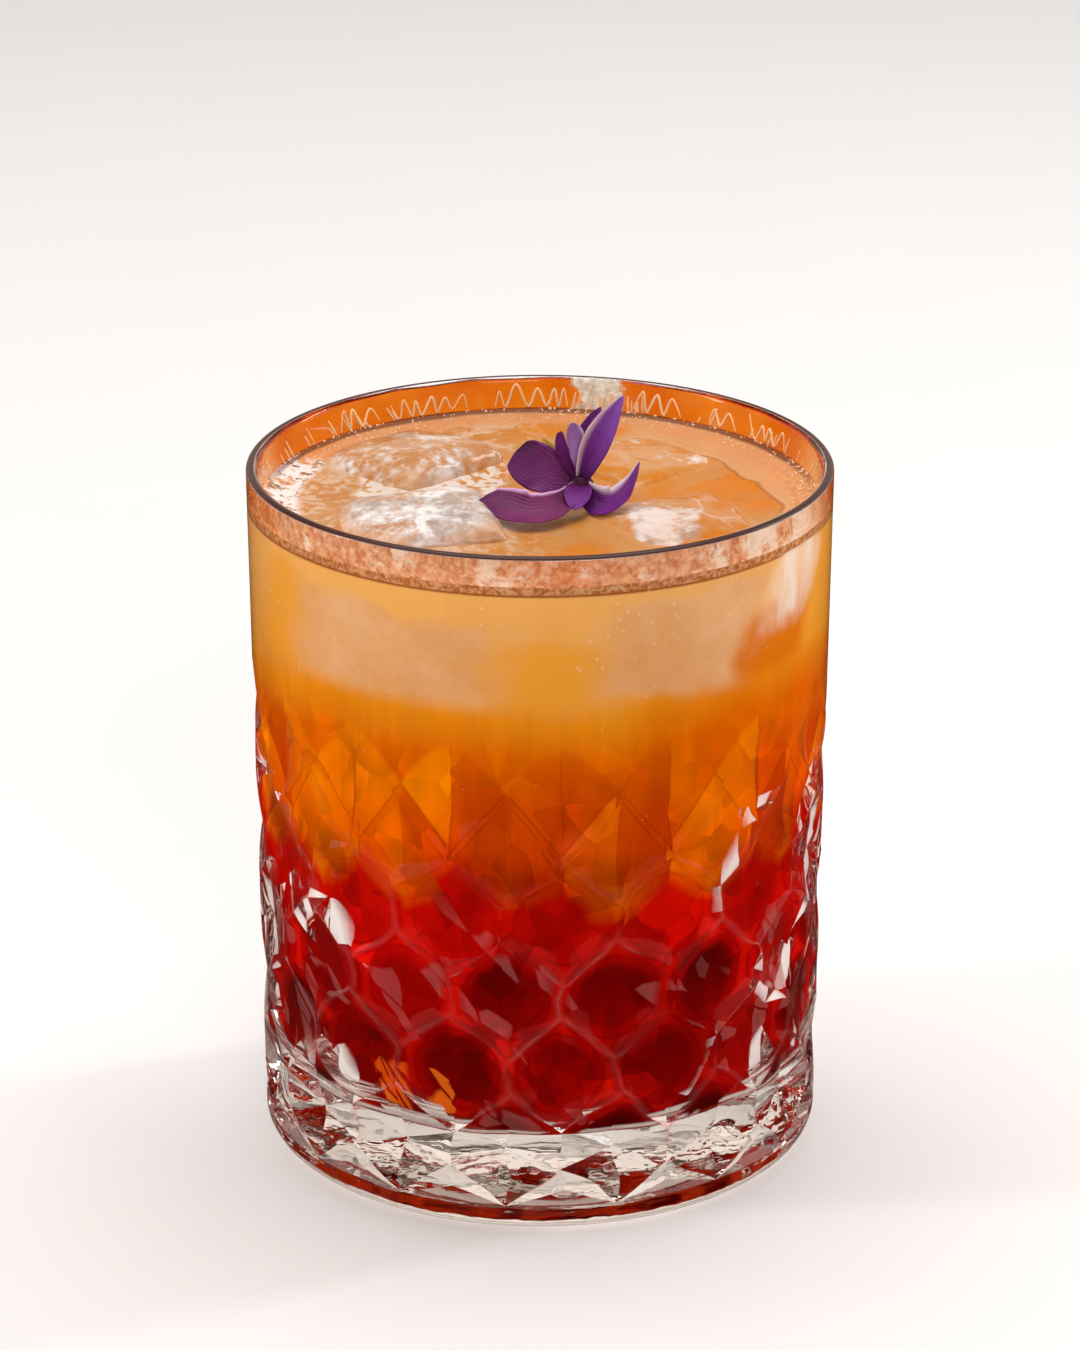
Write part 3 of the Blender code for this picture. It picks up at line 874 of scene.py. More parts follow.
def drink_rings(low, high):
    """Rings up the drink's side between two heights."""
    rings = []
    if low < FLOOR + FLOOR_FILLET:
        profile = fillet_profile(CAVITY_LOW_RADIUS + OVERLAP, FLOOR - OVERLAP, FLOOR_FILLET + OVERLAP)
        rings = [turned(r, z) for r, z in reversed(profile)]
        low = FLOOR + FLOOR_FILLET
    levels = spread(low, high, max(2, round((high - low) / SIDE_STEP)))
    return rings + [turned(inner_radius(z) + OVERLAP, z) for z in levels[1 if rings else 0 :]]


def make_layer(name, low, high, material):
    bm = bmesh.new()
    made = add_band(bm, drink_rings(low, high))
    fan(bm, made[0], (0, 0, min(v.co.z for v in made[0])))
    fan(bm, made[-1], (0, 0, high))
    return make_object(name, bm, material, DRINK_CREASE)


def make_top_layer(name, low, material, ice):
    """The pale layer with the drink's surface, hollowed where the ice floats in it."""
    bm = bmesh.new()
    rings = drink_rings(low, LEVEL + MENISCUS)
    edge = cavity_radius(LEVEL)
    steps = int(edge / SURFACE_STEP) - 1
    for offset in [*RINGS_AT_WALL, *(SURFACE_STEP * (k + 1) for k in range(steps))]:
        ring = turned(edge - offset, LEVEL)
        rings.append([Vector((p.x, p.y, surface_height(p, offset))) for p in ring])
    made = add_band(bm, rings)
    fan(bm, made[0], (0, 0, low))
    fan(bm, made[-1], (0, 0, surface_height(Vector((0, 0, LEVEL)), edge)))
    layer = make_object(name, bm, material, SURFACE_CREASE)
    hollows = [placed(cube.name + "_hollow", cube.data.copy()) for cube in ice]
    for hollow in hollows:
        for vert in hollow.data.vertices:
            vert.co -= vert.normal * ICE_INTO_DRINK
        cut = layer.modifiers.new(hollow.name, "BOOLEAN")
        cut.operation = "DIFFERENCE"
        cut.object = hollow
        cut.solver = "MANIFOLD"
    bpy.context.view_layer.update()
    applied(layer)
    for hollow in hollows:
        bpy.data.objects.remove(hollow)
    mesh = layer.data
    mesh.shade_smooth()
    mesh.set_sharp_from_angle(angle=math.radians(SURFACE_CREASE))
    mesh.materials.clear()
    mesh.materials.append(material)
    mesh.materials.append(surface_material())
    for face in mesh.polygons:
        face.material_index = int(face.normal.z > LEAST_RISE)
    near = mesh.attributes.new("near_ice", "FLOAT", "POINT")
    for vert, value in zip(mesh.vertices, near.data):
        reach = ICE_GLOW if vert.co.z < LEVEL - 0.3 * MM else ICE_GLOW_ON_TOP
        value.value = math.exp(-((max(ice_distance(vert.co), 0.0) / reach) ** 2))
    return layer


class Facets:
    """Flat-looking patches, in which the light and shade that cut glass makes of what lies behind it is
    painted.
    """

    def __init__(self, s, place, scale, bend):
        place = s.warped(s.stretch(place, (1.0, 1.0, 0.85)), 70.0, bend, 1.0)
        cells = s.voronoi(place, scale)
        own = s.add("ShaderNodeSeparateColor", {0: cells.outputs["Color"]})
        self.tone, self.lean, self.third = own.outputs[0], own.outputs[1], own.outputs[2]
        self.from_middle = cells.outputs["Distance"]
        self.from_edge = s.voronoi(place, scale, "DISTANCE_TO_EDGE").outputs["Distance"]


class CellGrid:
    """Where a point lies in the honeycomb: how far from its cell's middle, and a random number."""

    def __init__(self, s, columns, z):
        rows = s.math("DIVIDE", s.minus(z, CELL_MIDDLE), 2 * CELL_PITCH)
        even = self.lattice(s, columns, rows, 0.0)
        odd = self.lattice(s, columns, rows, 0.5)
        nearer = s.math("LESS_THAN", odd[0], even[0])
        self.away, self.rise, self.number = (s.blend(nearer, a, b) for a, b in zip(even, odd))

    def lattice(self, s, columns, rows, offset):
        u, v = s.minus(columns, offset), s.minus(rows, offset)
        own_u, own_v = s.math("ROUND", u), s.math("ROUND", v)
        width = COLUMN_ANGLE * CAVITY_LEVEL_RADIUS / CELL_REACH
        across = s.product(s.minus(u, own_u), width)
        up = s.product(s.minus(v, own_v), 2 * CELL_PITCH / CELL_REACH)
        spot = s.add("ShaderNodeCombineXYZ", {0: s.plus(own_u, 3.3 * offset), 1: own_v}).outputs[0]
        own = s.add("ShaderNodeTexWhiteNoise", {"Vector": spot}, noise_dimensions="2D")
        return s.length(across, up), up, own.outputs["Value"]


def cell_colour(s, colour, grid, z):
    """Painted light and shade, as if each cell worked as a lens: dark red in its middle, bright red along
    its ridges, a dark line near them.
    """
    high = s.span(z, 38 * MM, 48 * MM, 1.0, 0.3, smooth=True)
    depth = s.span(grid.number, 0.1, 0.9, 1.0, 0.45)
    core = s.span(grid.away, 0.98, 0.5, smooth=True)
    leaning = s.span(grid.rise, -0.6, 0.6, 0.65, 1.1)
    rim = s.product(s.span(grid.away, 0.8, 1.02, smooth=True), high)
    colour = s.tinted(rim, colour, (1.08, 3.4, 1.5))
    colour = s.tinted(s.product(core, depth, leaning, high), colour, (0.16, 0.14, 0.3))
    # Painted shade: a dark line near each cell's ridges
    line = s.product(s.span(s.apart(grid.away, 0.8), 0.0, 0.05, 0.5, 0.0), high)
    return s.mix(line, colour, srgb(110, 2, 2))


def cut_colour(s, colour, columns, z):
    """Painted light and shade: brighter and darker halves of the pointed cuts and of the lozenges between
    them, dark lines along outlines and valleys.
    """
    from_valley = s.math("PINGPONG", columns, 0.5)
    half = s.math("FLOOR", s.product(columns, 2.0))
    beyond = s.minus(s.span(z, JOINT_TOP, CUT_SIDE, 0.0, 0.5), from_valley)
    in_cut = s.span(beyond, -0.012, 0.012)
    numbers = []
    for shift in (0.0, 40.0):
        own = s.add("ShaderNodeTexWhiteNoise", noise_dimensions="1D")
        s.feed(own.inputs["W"], s.plus(half, shift))
        numbers.append(own.outputs["Value"])
    lighter = s.product(s.within(columns, *GOLDEN_CUTS, 0.3), 0.34)
    tone = s.ramp(s.plus(s.blend(in_cut, *numbers), lighter), CUT_TONES)
    arch = s.math("POWER", s.product(from_valley, 2.0), ARCH_POWER)
    drop = s.product(s.minus(1.0, arch), CUT_TIP - CUT_SIDE)
    under_arch = s.span(s.minus(z, drop), CUT_SIDE + 0.8 * MM, CUT_SIDE - 0.4 * MM)
    where = s.product(under_arch, s.span(z, 50 * MM, 54 * MM), s.span(z, 73 * MM, 64 * MM, 0.45, 1.0))
    # Painted shade: dark lines along the cuts' outlines and valleys
    edge = s.span(s.math("ABSOLUTE", beyond), 0.0, 0.022, 0.42, 0.0)
    valley = s.product(s.span(from_valley, 0.0, 0.022, 0.42, 0.0), in_cut)
    colour = s.tinted(where, colour, tone)
    return s.over(colour, srgb(150, 40, 0), where, s.math("MAXIMUM", edge, valley))


def facet_colour(s, colour, facets, tones, strength):
    """Painted light and shade: the colour in deeper and brighter facets, each shaded from its middle to its
    edge.
    """
    lean = s.span(facets.lean, 0.0, 1.0, -1.3, 1.3)
    slope = s.product(lean, s.span(facets.from_middle, 0.0, 0.8, -0.5, 0.5))
    many = s.tinted(1.0, s.ramp(facets.tone, tones), s.plus(slope, 1.0))
    return s.tinted(strength, colour, many)


def light_in_red(s, colour, place, columns, z, grid, fade):
    """Painted highlights: thin slanting glints behind the cells, and a few orange lights low at the left.
    """
    slanted = s.add("ShaderNodeMapping", {"Vector": place, "Rotation": (0.3, 0.7, 0.0)}).outputs[0]
    slivers = Facets(s, s.stretch(slanted, (2.4, 2.4, 0.9)), 150.0, 6 * MM)
    glint = s.product(s.span(slivers.lean, 0.86, 0.9), s.span(grid.away, 0.9, 0.7), fade)
    glint = s.product(glint, s.span(slivers.from_edge, 0.02, 0.08), s.span(z, 52 * MM, 44 * MM))
    # Painted highlight: pink glints
    colour = s.over(colour, srgb(216, 130, 126), glint, 0.24)
    # Painted light: orange lights low at the left
    orange_light = s.product(s.within(columns, *ORANGE_LIGHTS[:2], 0.4), s.within(z, *ORANGE_LIGHTS[2:], 3 * MM))
    orange_light = s.plus(orange_light, s.sway(s.noise(place, 260.0, 3.0), 0.35))
    orange_light = s.product(s.span(orange_light, 0.6, 0.72), s.span(slivers.third, 0.3, 0.34))
    orange_light = s.product(orange_light, s.span(slivers.from_edge, 0.02, 0.1))
    orange_light_colour = s.mix(slivers.tone, srgb(242, 24, 4), srgb(255, 128, 30))
    return s.over(colour, orange_light_colour, orange_light, 0.8)


def columns_at(s, x, y):
    """Where a point lies round the tumbler, counted in columns of the cut pattern."""
    return s.math("DIVIDE", s.minus(s.angle(x, y), FIRST_COLUMN), COLUMN_ANGLE)


def behind_cuts(s, colour, place, columns, z, large, small):
    """The colour with the light and shade of the cut glass painted in: cells low down, pointed cuts above
    them, an orange glow along the floor.
    """
    bent_x, bent_y, bent_z = s.axes(s.warped(place, 90.0, 3.5 * MM))
    grid = CellGrid(s, columns_at(s, bent_x, bent_y), s.plus(bent_z, 0.7 * MM))
    fade = s.span(z, 54 * MM, 58 * MM, 1.0, 0.0)
    colour = facet_colour(s, colour, large, DEEP_TONES, s.product(fade, 0.28))
    colour = facet_colour(s, colour, small, DEEP_TONES, s.product(fade, 0.32))
    colour = s.mix(fade, colour, cell_colour(s, colour, grid, z))
    colour = light_in_red(s, colour, place, columns, z, grid, fade)
    bright = s.product(s.span(z, 53 * MM, 57 * MM), s.span(z, 76.5 * MM, 70 * MM))
    colour = facet_colour(s, colour, small, BRIGHT_TONES, s.product(bright, 0.35))
    colour = cut_colour(s, colour, columns, z)
    # Painted glow: orange light in patches along the drink's floor
    glow = s.product(s.span(z, 15 * MM, 13.8 * MM), s.patches(0.46, 0.54, place, 150.0, 2.0))
    return s.over(colour, srgb(240, 70, 26), glow, 0.6)


def drink_material(name, cut):
    """Layered juice: colour by height, drifting clouds, and painted facets of light and shade in deep and
    bright red.

    The painted facets are there where the layer stands behind cut glass.
    """
    s = Shader(name)
    place = s.place()
    x, y, z = s.axes(place)
    drift = s.noise(s.stretch(place, (1.0, 1.0, 0.5)), 38.0, 5.0, 0.5, 0.5)
    deep = s.span(z, 80 * MM, 92 * MM, 1.0, 0.0)
    shift = s.product(s.sway(drift, 3.0 * MM), deep)
    on_the_left = s.span(x, -10 * MM, -38 * MM, 0.0, 4.0 * MM)
    mid_height = s.product(s.span(z, 66 * MM, 74 * MM), s.span(z, 90 * MM, 78 * MM))
    shift = s.plus(shift, s.product(on_the_left, mid_height))
    lean = None
    if cut:
        large = Facets(s, place, 105.0, 7 * MM)
        small = Facets(s, place, 210.0, 4 * MM)
        lean = s.product(large.lean, s.span(z, 66 * MM, 58 * MM))
        columns = columns_at(s, x, y)
        from_tip = s.math("PINGPONG", columns, 0.5)
        at_joints = s.product(s.span(z, 44 * MM, 50 * MM), s.span(z, 68 * MM, 60 * MM))
        dip = s.product(s.span(from_tip, 0.0, 0.5, -2.2 * MM, 4.2 * MM), at_joints)
        jump = s.product(s.span(large.third, 0.0, 1.0, -1.8 * MM, 1.8 * MM), at_joints)
        shift = s.plus(shift, s.plus(dip, jump))
    low, high = FLOOR / MM, DRINK_TOP / MM
    stops = [((height - low) / (high - low), srgb(*tone)) for height, *tone in DRINK_COLOURS]
    colour = s.ramp(s.span(s.plus(z, shift), FLOOR, DRINK_TOP), stops)
    wisps = s.noise(s.stretch(place, (1.0, 1.0, 0.14)), 190.0, 3.0, 0.6)
    streaky = s.span(z, 84 * MM, 72 * MM, 0.25, 1.0)
    colour = s.tinted(streaky, colour, s.span(wisps, 0.3, 0.7, 0.86, 1.12))
    if cut:
        colour = behind_cuts(s, colour, place, columns, z, large, small)
    else:
        colour = with_ice_behind(s, place, colour)
        colour = s.mix(s.span(z, 96.55 * MM, 96.7 * MM), colour, foam_colour(s, place, 1.0))
    s.skin(colour, 0.3, 1.34, 0.0)
    turn_back_slanting_light(s, place, lean)
    return s.material


def turn_back_slanting_light(s, place, lean):
    """Light that slants along the glass is turned back where it meets the drink.

    Facets that lean, where there are any, turn it back sooner.
    """
    facing = s.add("ShaderNodeLayerWeight", {"Blend": 0.5}).outputs["Facing"]
    slanting = s.span(facing, 0.43, 0.55, smooth=True)
    share = s.product(slanting, s.patches(0.4, 0.46, place, 120.0, 2.0))
    if lean is not None:
        sooner = s.product(s.span(facing, 0.2, 0.26), s.span(lean, 0.6, 0.62), lean)
        share = s.math("MAXIMUM", share, sooner)
    mirror = {"Color": (0.96, 0.93, 0.9), "Roughness": 0.0}
    s.show_mixed(share, s.add("ShaderNodeBsdfGlossy", mirror))


def with_ice_behind(s, place, colour):
    """The pale layer seen through the wall: paler in front of ice, a painted glow in the gaps between, and
    a painted highlight streak.
    """
    x, y, z = s.axes(s.warped(place, 40.0, 26 * MM, 4.0))
    angle = s.angle(x, y)
    back = s.math("FLOORED_MODULO", angle, 2 * math.pi)
    off_the_edges = s.within(s.axes(place)[2], 82 * MM, 95.4 * MM, 4 * MM)

    def patch(west, east, low, high, soft):
        turn = back if max(abs(west), abs(east)) > 155 else angle
        upright = s.within(z, low * MM, high * MM, 4 * MM)
        return s.product(s.sector(turn, west, east, soft), upright, off_the_edges)

    # Painted glow: light in the gaps between the ice, as if the juice were lit from behind
    for gap in GLOWING_GAPS:
        colour = s.over(colour, srgb(252, 174, 52), patch(*gap, 12), 0.75)
    cloudy = s.patches(0.35, 0.65, place, 120.0, 4.0, 0.6)
    pale = s.mix(cloudy, srgb(230, 170, 114), srgb(242, 196, 152))
    for block in BLOCKS_BEHIND:
        colour = s.over(colour, pale, patch(*block, 11), 0.75)
    colour = s.over(colour, srgb(228, 118, 4), patch(*DEEP_GAP, 8), 0.85)
    dots = s.span(s.voronoi(place, 640.0).outputs["Distance"], 0.2, 0.12)
    specks = s.product(dots, s.patches(0.5, 0.6, place, 70.0, 3.0), off_the_edges)
    colour = s.over(colour, srgb(255, 232, 200), specks, 0.4)
    # Painted highlight: a bright streak on the wall at the right
    streak = s.span(s.noise(s.stretch(place, (1.0, 1.0, 0.3)), 260.0, 3.0), 0.35, 0.6, 0.4, 1.0)
    return s.over(colour, srgb(255, 238, 220), patch(*HIGHLIGHT_STREAK, 7), streak)


def foam_colour(s, place, contrast):
    """Fine froth: tan beads between darker gaps."""
    speckle = s.product(s.minus(s.patches(0.4, 0.62, place, 1300.0, 2.0, 0.7), 0.5), contrast)
    return s.mix(s.span(speckle, -0.5, 0.5), srgb(180, 106, 54), srgb(222, 170, 122))


def surface_material():
    """The drink's open surface: orange swirls, ice just under it, froth at the edge, and a painted dark
    line of shade at the back wall.
    """
    s = Shader("drink_surface")
    place = s.place()
    x, y, _ = s.axes(place)
    out, angle = s.length(x, y), s.angle(x, y)
    swirl = s.noise(s.stretch(place, (0.6, 1.0, 1.0)), 60.0, 4.0, 0.55, 1.2)
    orange = s.span(s.plus(swirl, s.span(x, -20 * MM, 20 * MM, 0.08, -0.08)), 0.4, 0.6)
    colour = s.mix(orange, srgb(204, 118, 20), srgb(186, 132, 74))
    streak = s.span(s.apart(swirl, 0.5), 0.0, 0.012, 1.0, 0.0)
    colour = s.over(colour, srgb(168, 90, 36), streak, 0.3)
    cloud = s.noise(place, 75.0, 5.0, 0.6, 0.8)
    grain = s.noise(place, 620.0, 3.0, 0.65)
    under = s.plus(s.attribute("near_ice"), s.span(cloud, 0.35, 0.65, -0.5, 0.4))
    colour = s.over(colour, srgb(196, 146, 94), s.span(under, 0.5, 0.9), 0.5)
    left = s.span(x, 4 * MM, -8 * MM)
    toasted = s.product(left, s.patches(0.5, 0.6, place, 130.0, 5.0, 0.7), 0.55)
    colour = s.mix(toasted, colour, srgb(186, 104, 46))
    ridge = s.span(angle, *(math.radians(turn) for turn in SHELF), *SHELF_INSIDE)
    beyond = s.minus(out, s.plus(ridge, s.sway(cloud, MM)))
    here = s.sector(angle, *SHELF, 8)
    shelf = s.product(s.span(beyond, -0.4 * MM, 0.6 * MM), here)
    colour = s.over(colour, srgb(204, 158, 114), shelf, 0.8)
    shelf_line = s.product(s.span(s.math("ABSOLUTE", beyond), 0.15 * MM, 0.5 * MM, 1.0, 0.0), here)
    colour = s.over(colour, srgb(150, 84, 38), shelf_line, 0.6)
    crumbly = s.span(s.plus(cloud, s.sway(grain, 0.14)), 0.5, 0.58)
    colour = s.over(colour, srgb(206, 176, 148), left, crumbly, 0.8)
    crushed = s.span(s.plus(cloud, s.sway(grain, 0.3)), 0.36, 0.46)
    bent_x, bent_y, _ = s.axes(s.warped(place, 110.0, 9 * MM))
    between = s.within(bent_x, -25 * MM, -7 * MM, 2 * MM)
    between = s.product(between, s.within(bent_y, -4 * MM, 14 * MM, 2 * MM), crushed)
    colour = s.over(colour, srgb(220, 206, 194), between, 0.85)
    foam = foam_colour(s, place, s.span(y, 16 * MM, -10 * MM, 0.15, 1.0))
    froth = s.span(out, 34.5 * MM, 37 * MM, smooth=True)
    colour = s.over(colour, foam, froth, 0.85)
    at_wall = s.within(out, SLUSH[2] * MM, SLUSH[3] * MM, 1.5 * MM)
    slush = s.product(s.sector(angle, *SLUSH[:2], 8), at_wall, crushed)
    specks = s.patches(0.38, 0.46, place, 480.0, 3.0, 0.7)
    colour = s.mix(slush, colour, s.mix(specks, srgb(132, 92, 66), srgb(228, 222, 220)))
    # Painted shade: a dark line at the back where the surface meets the wall
    back_line = s.product(s.span(out, 38.8 * MM, 39.1 * MM), s.span(y, 0.0, 15 * MM))
    colour = s.over(colour, srgb(104, 48, 22), back_line, 0.8)
    s.skin(colour, 0.28, 1.34, 0.2)
    ripples = s.noise(s.stretch(place, (1.0, 0.6, 1.0)), 110.0, 3.0, 0.5, 0.8)
    s.bump(s.plus(ripples, s.product(grain, left, 0.3)), 0.4 * MM, 0.5)
    return s.material


def make_drink(ice):
    red, orange, pale = (
        drink_material(name, name != "pale_drink") for name in ("red_drink", "orange_drink", "pale_drink")
    )
    red = make_layer("drink_red_layer", FLOOR, JUICE_BOTTOM, red)
    orange = make_layer("drink_orange_layer", JUICE_BOTTOM, PALE_BOTTOM, orange)
    pale = make_top_layer("drink_pale_layer", PALE_BOTTOM, pale, ice)
    stand_for(red, "red_drink", "drink_red")
    stand_for(orange, "orange_drink", "drink_orange")
    stand_for(pale, "pale_drink", "drink_pale")


def from_front(place):
    """Degrees round from the front, 0 to 180."""
    return abs(math.degrees(math.atan2(place.x, -place.y)))


def film_top(column):
    """Height of the juice film's ragged upper edge."""
    return FILM_HIGH - abs(noise.noise(Vector((column * 1.3, 0, 0)))) * 0.5 * MM


def film_material():
    """Clear orange juice, milky in front, with a whitish haze, partly a painted highlight, where it has run
    off; some white froth in front is a painted highlight.
    """
    s = Shader("juice_film")
    place = s.place()
    x, y, _ = s.axes(place)
    turn = s.angle(x, y)
    front = s.attribute("milky")
    colour = s.mix(s.patches(0.35, 0.65, place, 90.0, 4.0), srgb(218, 98, 6), srgb(232, 124, 22))
    speckle = s.patches(0.36, 0.62, place, 900.0, 3.0, 0.7)
    residue = s.mix(speckle, srgb(216, 146, 96), srgb(250, 212, 172))
    # Part of the white froth is a painted highlight: a patch near the middle of the front, and more at the
    # right
    middle_glint = s.product(s.within(x, -5 * MM, -4 * MM, 8 * MM), 0.08)
    froth = s.math("MAXIMUM", s.span(x, 14 * MM, 28 * MM, 0.0, 0.12), middle_glint)
    froth = s.span(s.plus(s.noise(place, 210.0, 5.0, 0.7), froth), 0.56, 0.64)
    residue = s.mix(froth, residue, srgb(250, 238, 226))
    away = s.apart(s.product(turn, 180 / math.pi), FILM_GAP)
    away = s.plus(away, s.sway(s.noise(place, 240.0, 4.0, 0.7), 3.0))
    bare = s.span(away, FILM_GAP_HALF + 0.6, FILM_GAP_HALF - 0.6)
    sideways = s.sector(s.math("ABSOLUTE", turn), 64, 98, 14)
    colour = s.over(colour, srgb(242, 176, 100), sideways, 0.8)
    # Painted highlight, in part: the whitish haze where the film has run off
    haze = s.mix(speckle, srgb(206, 200, 186), srgb(244, 242, 236))
    colour = s.mix(bare, s.mix(front, colour, residue), haze)
    cover = s.span(s.noise(place, 160.0, 4.0, 0.6), 0.3, 0.6, 0.3, 0.75)
    cover = s.product(s.math("MAXIMUM", front, bare), cover)
    s.skin(colour, 0.02, 1.34, clear=s.minus(1.0, cover))
    s.lets_lamps_through((0.98, 0.75, 0.5))
    return s.material


def make_film():
    """The thin film of juice that a swirl left on the inner wall above the drink."""
    bm = bmesh.new()
    milky = bm.verts.layers.float.new("milky")
    rows = range(FILM_ROWS + 1)
    rings = []
    for offset, levels in ((-FILM_THICKNESS, rows), (FILM_INTO_WALL, reversed(rows))):
        for k in levels:
            places = [(u, LEVEL + (film_top(u) - LEVEL) * k / FILM_ROWS) for u in columns_round()]
            rings.append([at(inner_radius(z) + offset, u, z) for u, z in places])
    made = add_band(bm, rings)
    join(bm, made[-1], made[0])
    for vert in bm.verts:
        vert[milky] = min(max((FILM_FRONT + FILM_FADE - from_front(vert.co)) / FILM_FADE, 0.0), 1.0)
    stand_for(make_object("juice_film", bm, film_material()), "orange_drink")


def add_tube(bm, points, radius, sides=6):
    """A closed round tube along points on the inner wall, thinner at both ends."""
    rings = []
    last = len(points) - 1
    turns = [2 * math.pi * k / sides for k in range(sides)]
    for i, point in enumerate(points):
        ahead = points[min(i + 1, last)] - points[max(i - 1, 0)]
        out = Vector((point.x, point.y, 0)).normalized()
        side = ahead.cross(out).normalized()
        thin = radius * (0.45 + 0.55 * math.sin(math.pi * i / last))
        rings.append([point + (out * math.cos(a) * 0.7 + side * math.sin(a)) * thin for a in turns])
    made = add_band(bm, rings)
    for ring in (made[0], made[-1]):
        bm.faces.new(ring)


def smooth_path(places, steps=6):
    """Points on the inner wall through (degrees from the front, height) places, gently rounded."""
    path = []
    last = len(places) - 1
    for i in range(last):
        before, a, b, after = (places[min(max(k, 0), last)] for k in (i - 1, i, i + 1, i + 2))
        for k in range(steps + (i == last - 1)):
            t = k / steps
            spot = []
            for w, x, y, v in zip(before, a, b, after):
                curve = 2 * x + (y - w) * t + (2 * w - 5 * x + 4 * y - v) * t**2
                spot.append((curve + (3 * x - w - 3 * y + v) * t**3) / 2)
            angle, z = spot
            path.append(round_at(inner_radius(z) - FILM_THICKNESS, math.radians(angle), z))
    return path


def make_drips():
    """Pale drip lines in the film: zigzags round the back, short strokes at the sides."""
    bm = bmesh.new()
    rng = random.Random(11)
    for start, end in ZIGZAGS:
        angle, up, places = start, False, []
        while angle < end:
            top = rng.uniform(2.2, 3.6) * MM
            places.append((angle, DRINK_TOP + (top if up else rng.uniform(0.1, 0.5) * MM)))
            angle += rng.uniform(0.9, 2.6)
            up = not up
        if len(places) > 2:
            add_tube(bm, smooth_path(places), rng.uniform(0.19, 0.27) * MM)
    for start, end, count, lean in STROKES:
        for _ in range(count):
            angle = rng.uniform(start, end)
            top = rng.uniform(0.9, 3.0) * MM
            places = [(angle + lean * top / MM * share, DRINK_TOP + top * share) for share in (0, 0.4, 1)]
            add_tube(bm, smooth_path(places), rng.uniform(0.12, 0.2) * MM)
    s = Shader("drip_lines")
    s.skin(s.mix(s.noise(s.place(), 500.0), srgb(246, 190, 120), srgb(255, 236, 200)), 0.2)
    stand_for(make_object("drip_lines", bm, s.material), "pale_drink")


def spheres(name, spots, material):
    """Many small round beads, given as (place, radius), as one mesh."""
    bm = bmesh.new()
    bmesh.ops.create_icosphere(bm, subdivisions=2, radius=1.0)
    points = [v.co.copy() for v in bm.verts]
    faces = [[v.index for v in f.verts] for f in bm.faces]
    bm.free()
    all_points, all_faces = [], []
    for place, radius in spots:
        start = len(all_points)
        all_points += [place + p * radius for p in points]
        all_faces += [[start + i for i in face] for face in faces]
    mesh = bpy.data.meshes.new(name)
    mesh.from_pydata(all_points, [], all_faces)
    mesh.materials.append(material)
    mesh.shade_smooth()
    return placed(name, mesh)


def make_bubbles():
    """Froth along the drink's edge and fine bubbles that cling inside the wall, one dense white cluster of
    them standing in for a highlight on the wall.
    """
    spots = []
    rng = random.Random(5)
    for _ in range(FROTH_COUNT):
        angle = math.radians(rng.uniform(0, 360))
        size = rng.uniform(0.08, 0.3) ** 1.3 * MM
        inset = rng.random() ** 2 * FROTH_WIDTH
        place = round_at(CAVITY_LEVEL_RADIUS - inset, angle, LEVEL)
        place.z = surface_height(place, inset)
        spots.append((place, size))
    for low_angle, high_angle, low, high, count in WALL_BUBBLES:
        for _ in range(count):
            angle = math.radians(rng.triangular(low_angle, high_angle))
            z = rng.uniform(low, high) * MM
            size = rng.uniform(0.05, 0.2) ** 1.2 * MM
            spots.append((round_at(inner_radius(z) + 0.02 * MM, angle, z), size))
    s = Shader("bubbles")
    s.skin(s.mix(s.noise(s.place(), 300.0), srgb(236, 190, 140), srgb(252, 236, 216)), 0.12)
    stand_for(spheres("bubbles", spots, s.material), "pale_drink")


def petal_half_width(share, half_width, widest, point):
    if share < widest:
        return half_width * (0.3 + 0.7 * math.sin(math.pi / 2 * share / widest))
    return half_width * max(math.cos(math.pi / 2 * (share - widest) / (1 - widest)), 0.0) ** point


def petal_rows(bow, tip, face, half_width, widest, point, cup, wave):
    """Rows of (point, normal, share, across) from the petal's root to its tip."""
    bow, tip = (Vector(v) * MM for v in (bow, tip))
    rows = []
    for i in range(PETAL_STEPS + 1):
        share = i / PETAL_STEPS
        middle = FLOWER_MIDDLE + 2 * share * (1 - share) * bow + share * share * tip
        along = (1 - share) * bow + share * (tip - bow)
        across = along.cross(Vector(face)).normalized()
        up = across.cross(along).normalized()
        width = petal_half_width(share, half_width * MM, widest, point) + PETAL_ROOT
        row = []
        for k in range(PETAL_STEPS_ACROSS + 1):
            t = 2 * k / PETAL_STEPS_ACROSS - 1
            ripple = math.sin(share * 17 + wave + 2.2 * t) * 0.05 + math.sin(share * 31 - wave) * 0.025
            vein = -VEIN_DEPTH * math.exp(-((t / 0.12) ** 2)) * (1 - share)
            lift = width * (cup * t * t + ripple * abs(t) ** 3) + vein
            row.append((middle + across * width * t + up * lift, up, share, t))
        rows.append(row)
    return rows


def make_petal(name, rows, material):
    """A thin curved petal as a closed sheet, with how far along and across each point lies."""
    bm = bmesh.new()
    layer = bm.verts.layers.float_vector.new("petal")
    rims = []
    for side in (1, -1):
        sheet = []
        for row in rows:
            sheet.append([])
            for p, up, share, t in row:
                thin = PETAL_THICKNESS / 2 * (1 - 0.75 * max(abs(t), share) ** 4)
                vert = bm.verts.new(p + up * thin * side)
                vert[layer] = (share, 0.5 + 0.5 * t, 0.0)
                sheet[-1].append(vert)
        for low, high in zip(sheet, sheet[1:]):
            join(bm, low, high, closed=False)
        right, left = [line[-1] for line in sheet[:-1]], [line[0] for line in sheet[:0:-1]]
        rims.append(sheet[0][:-1] + right + sheet[-1][:0:-1] + left)
    join(bm, *rims)
    return make_object("petal_" + name, bm, material)


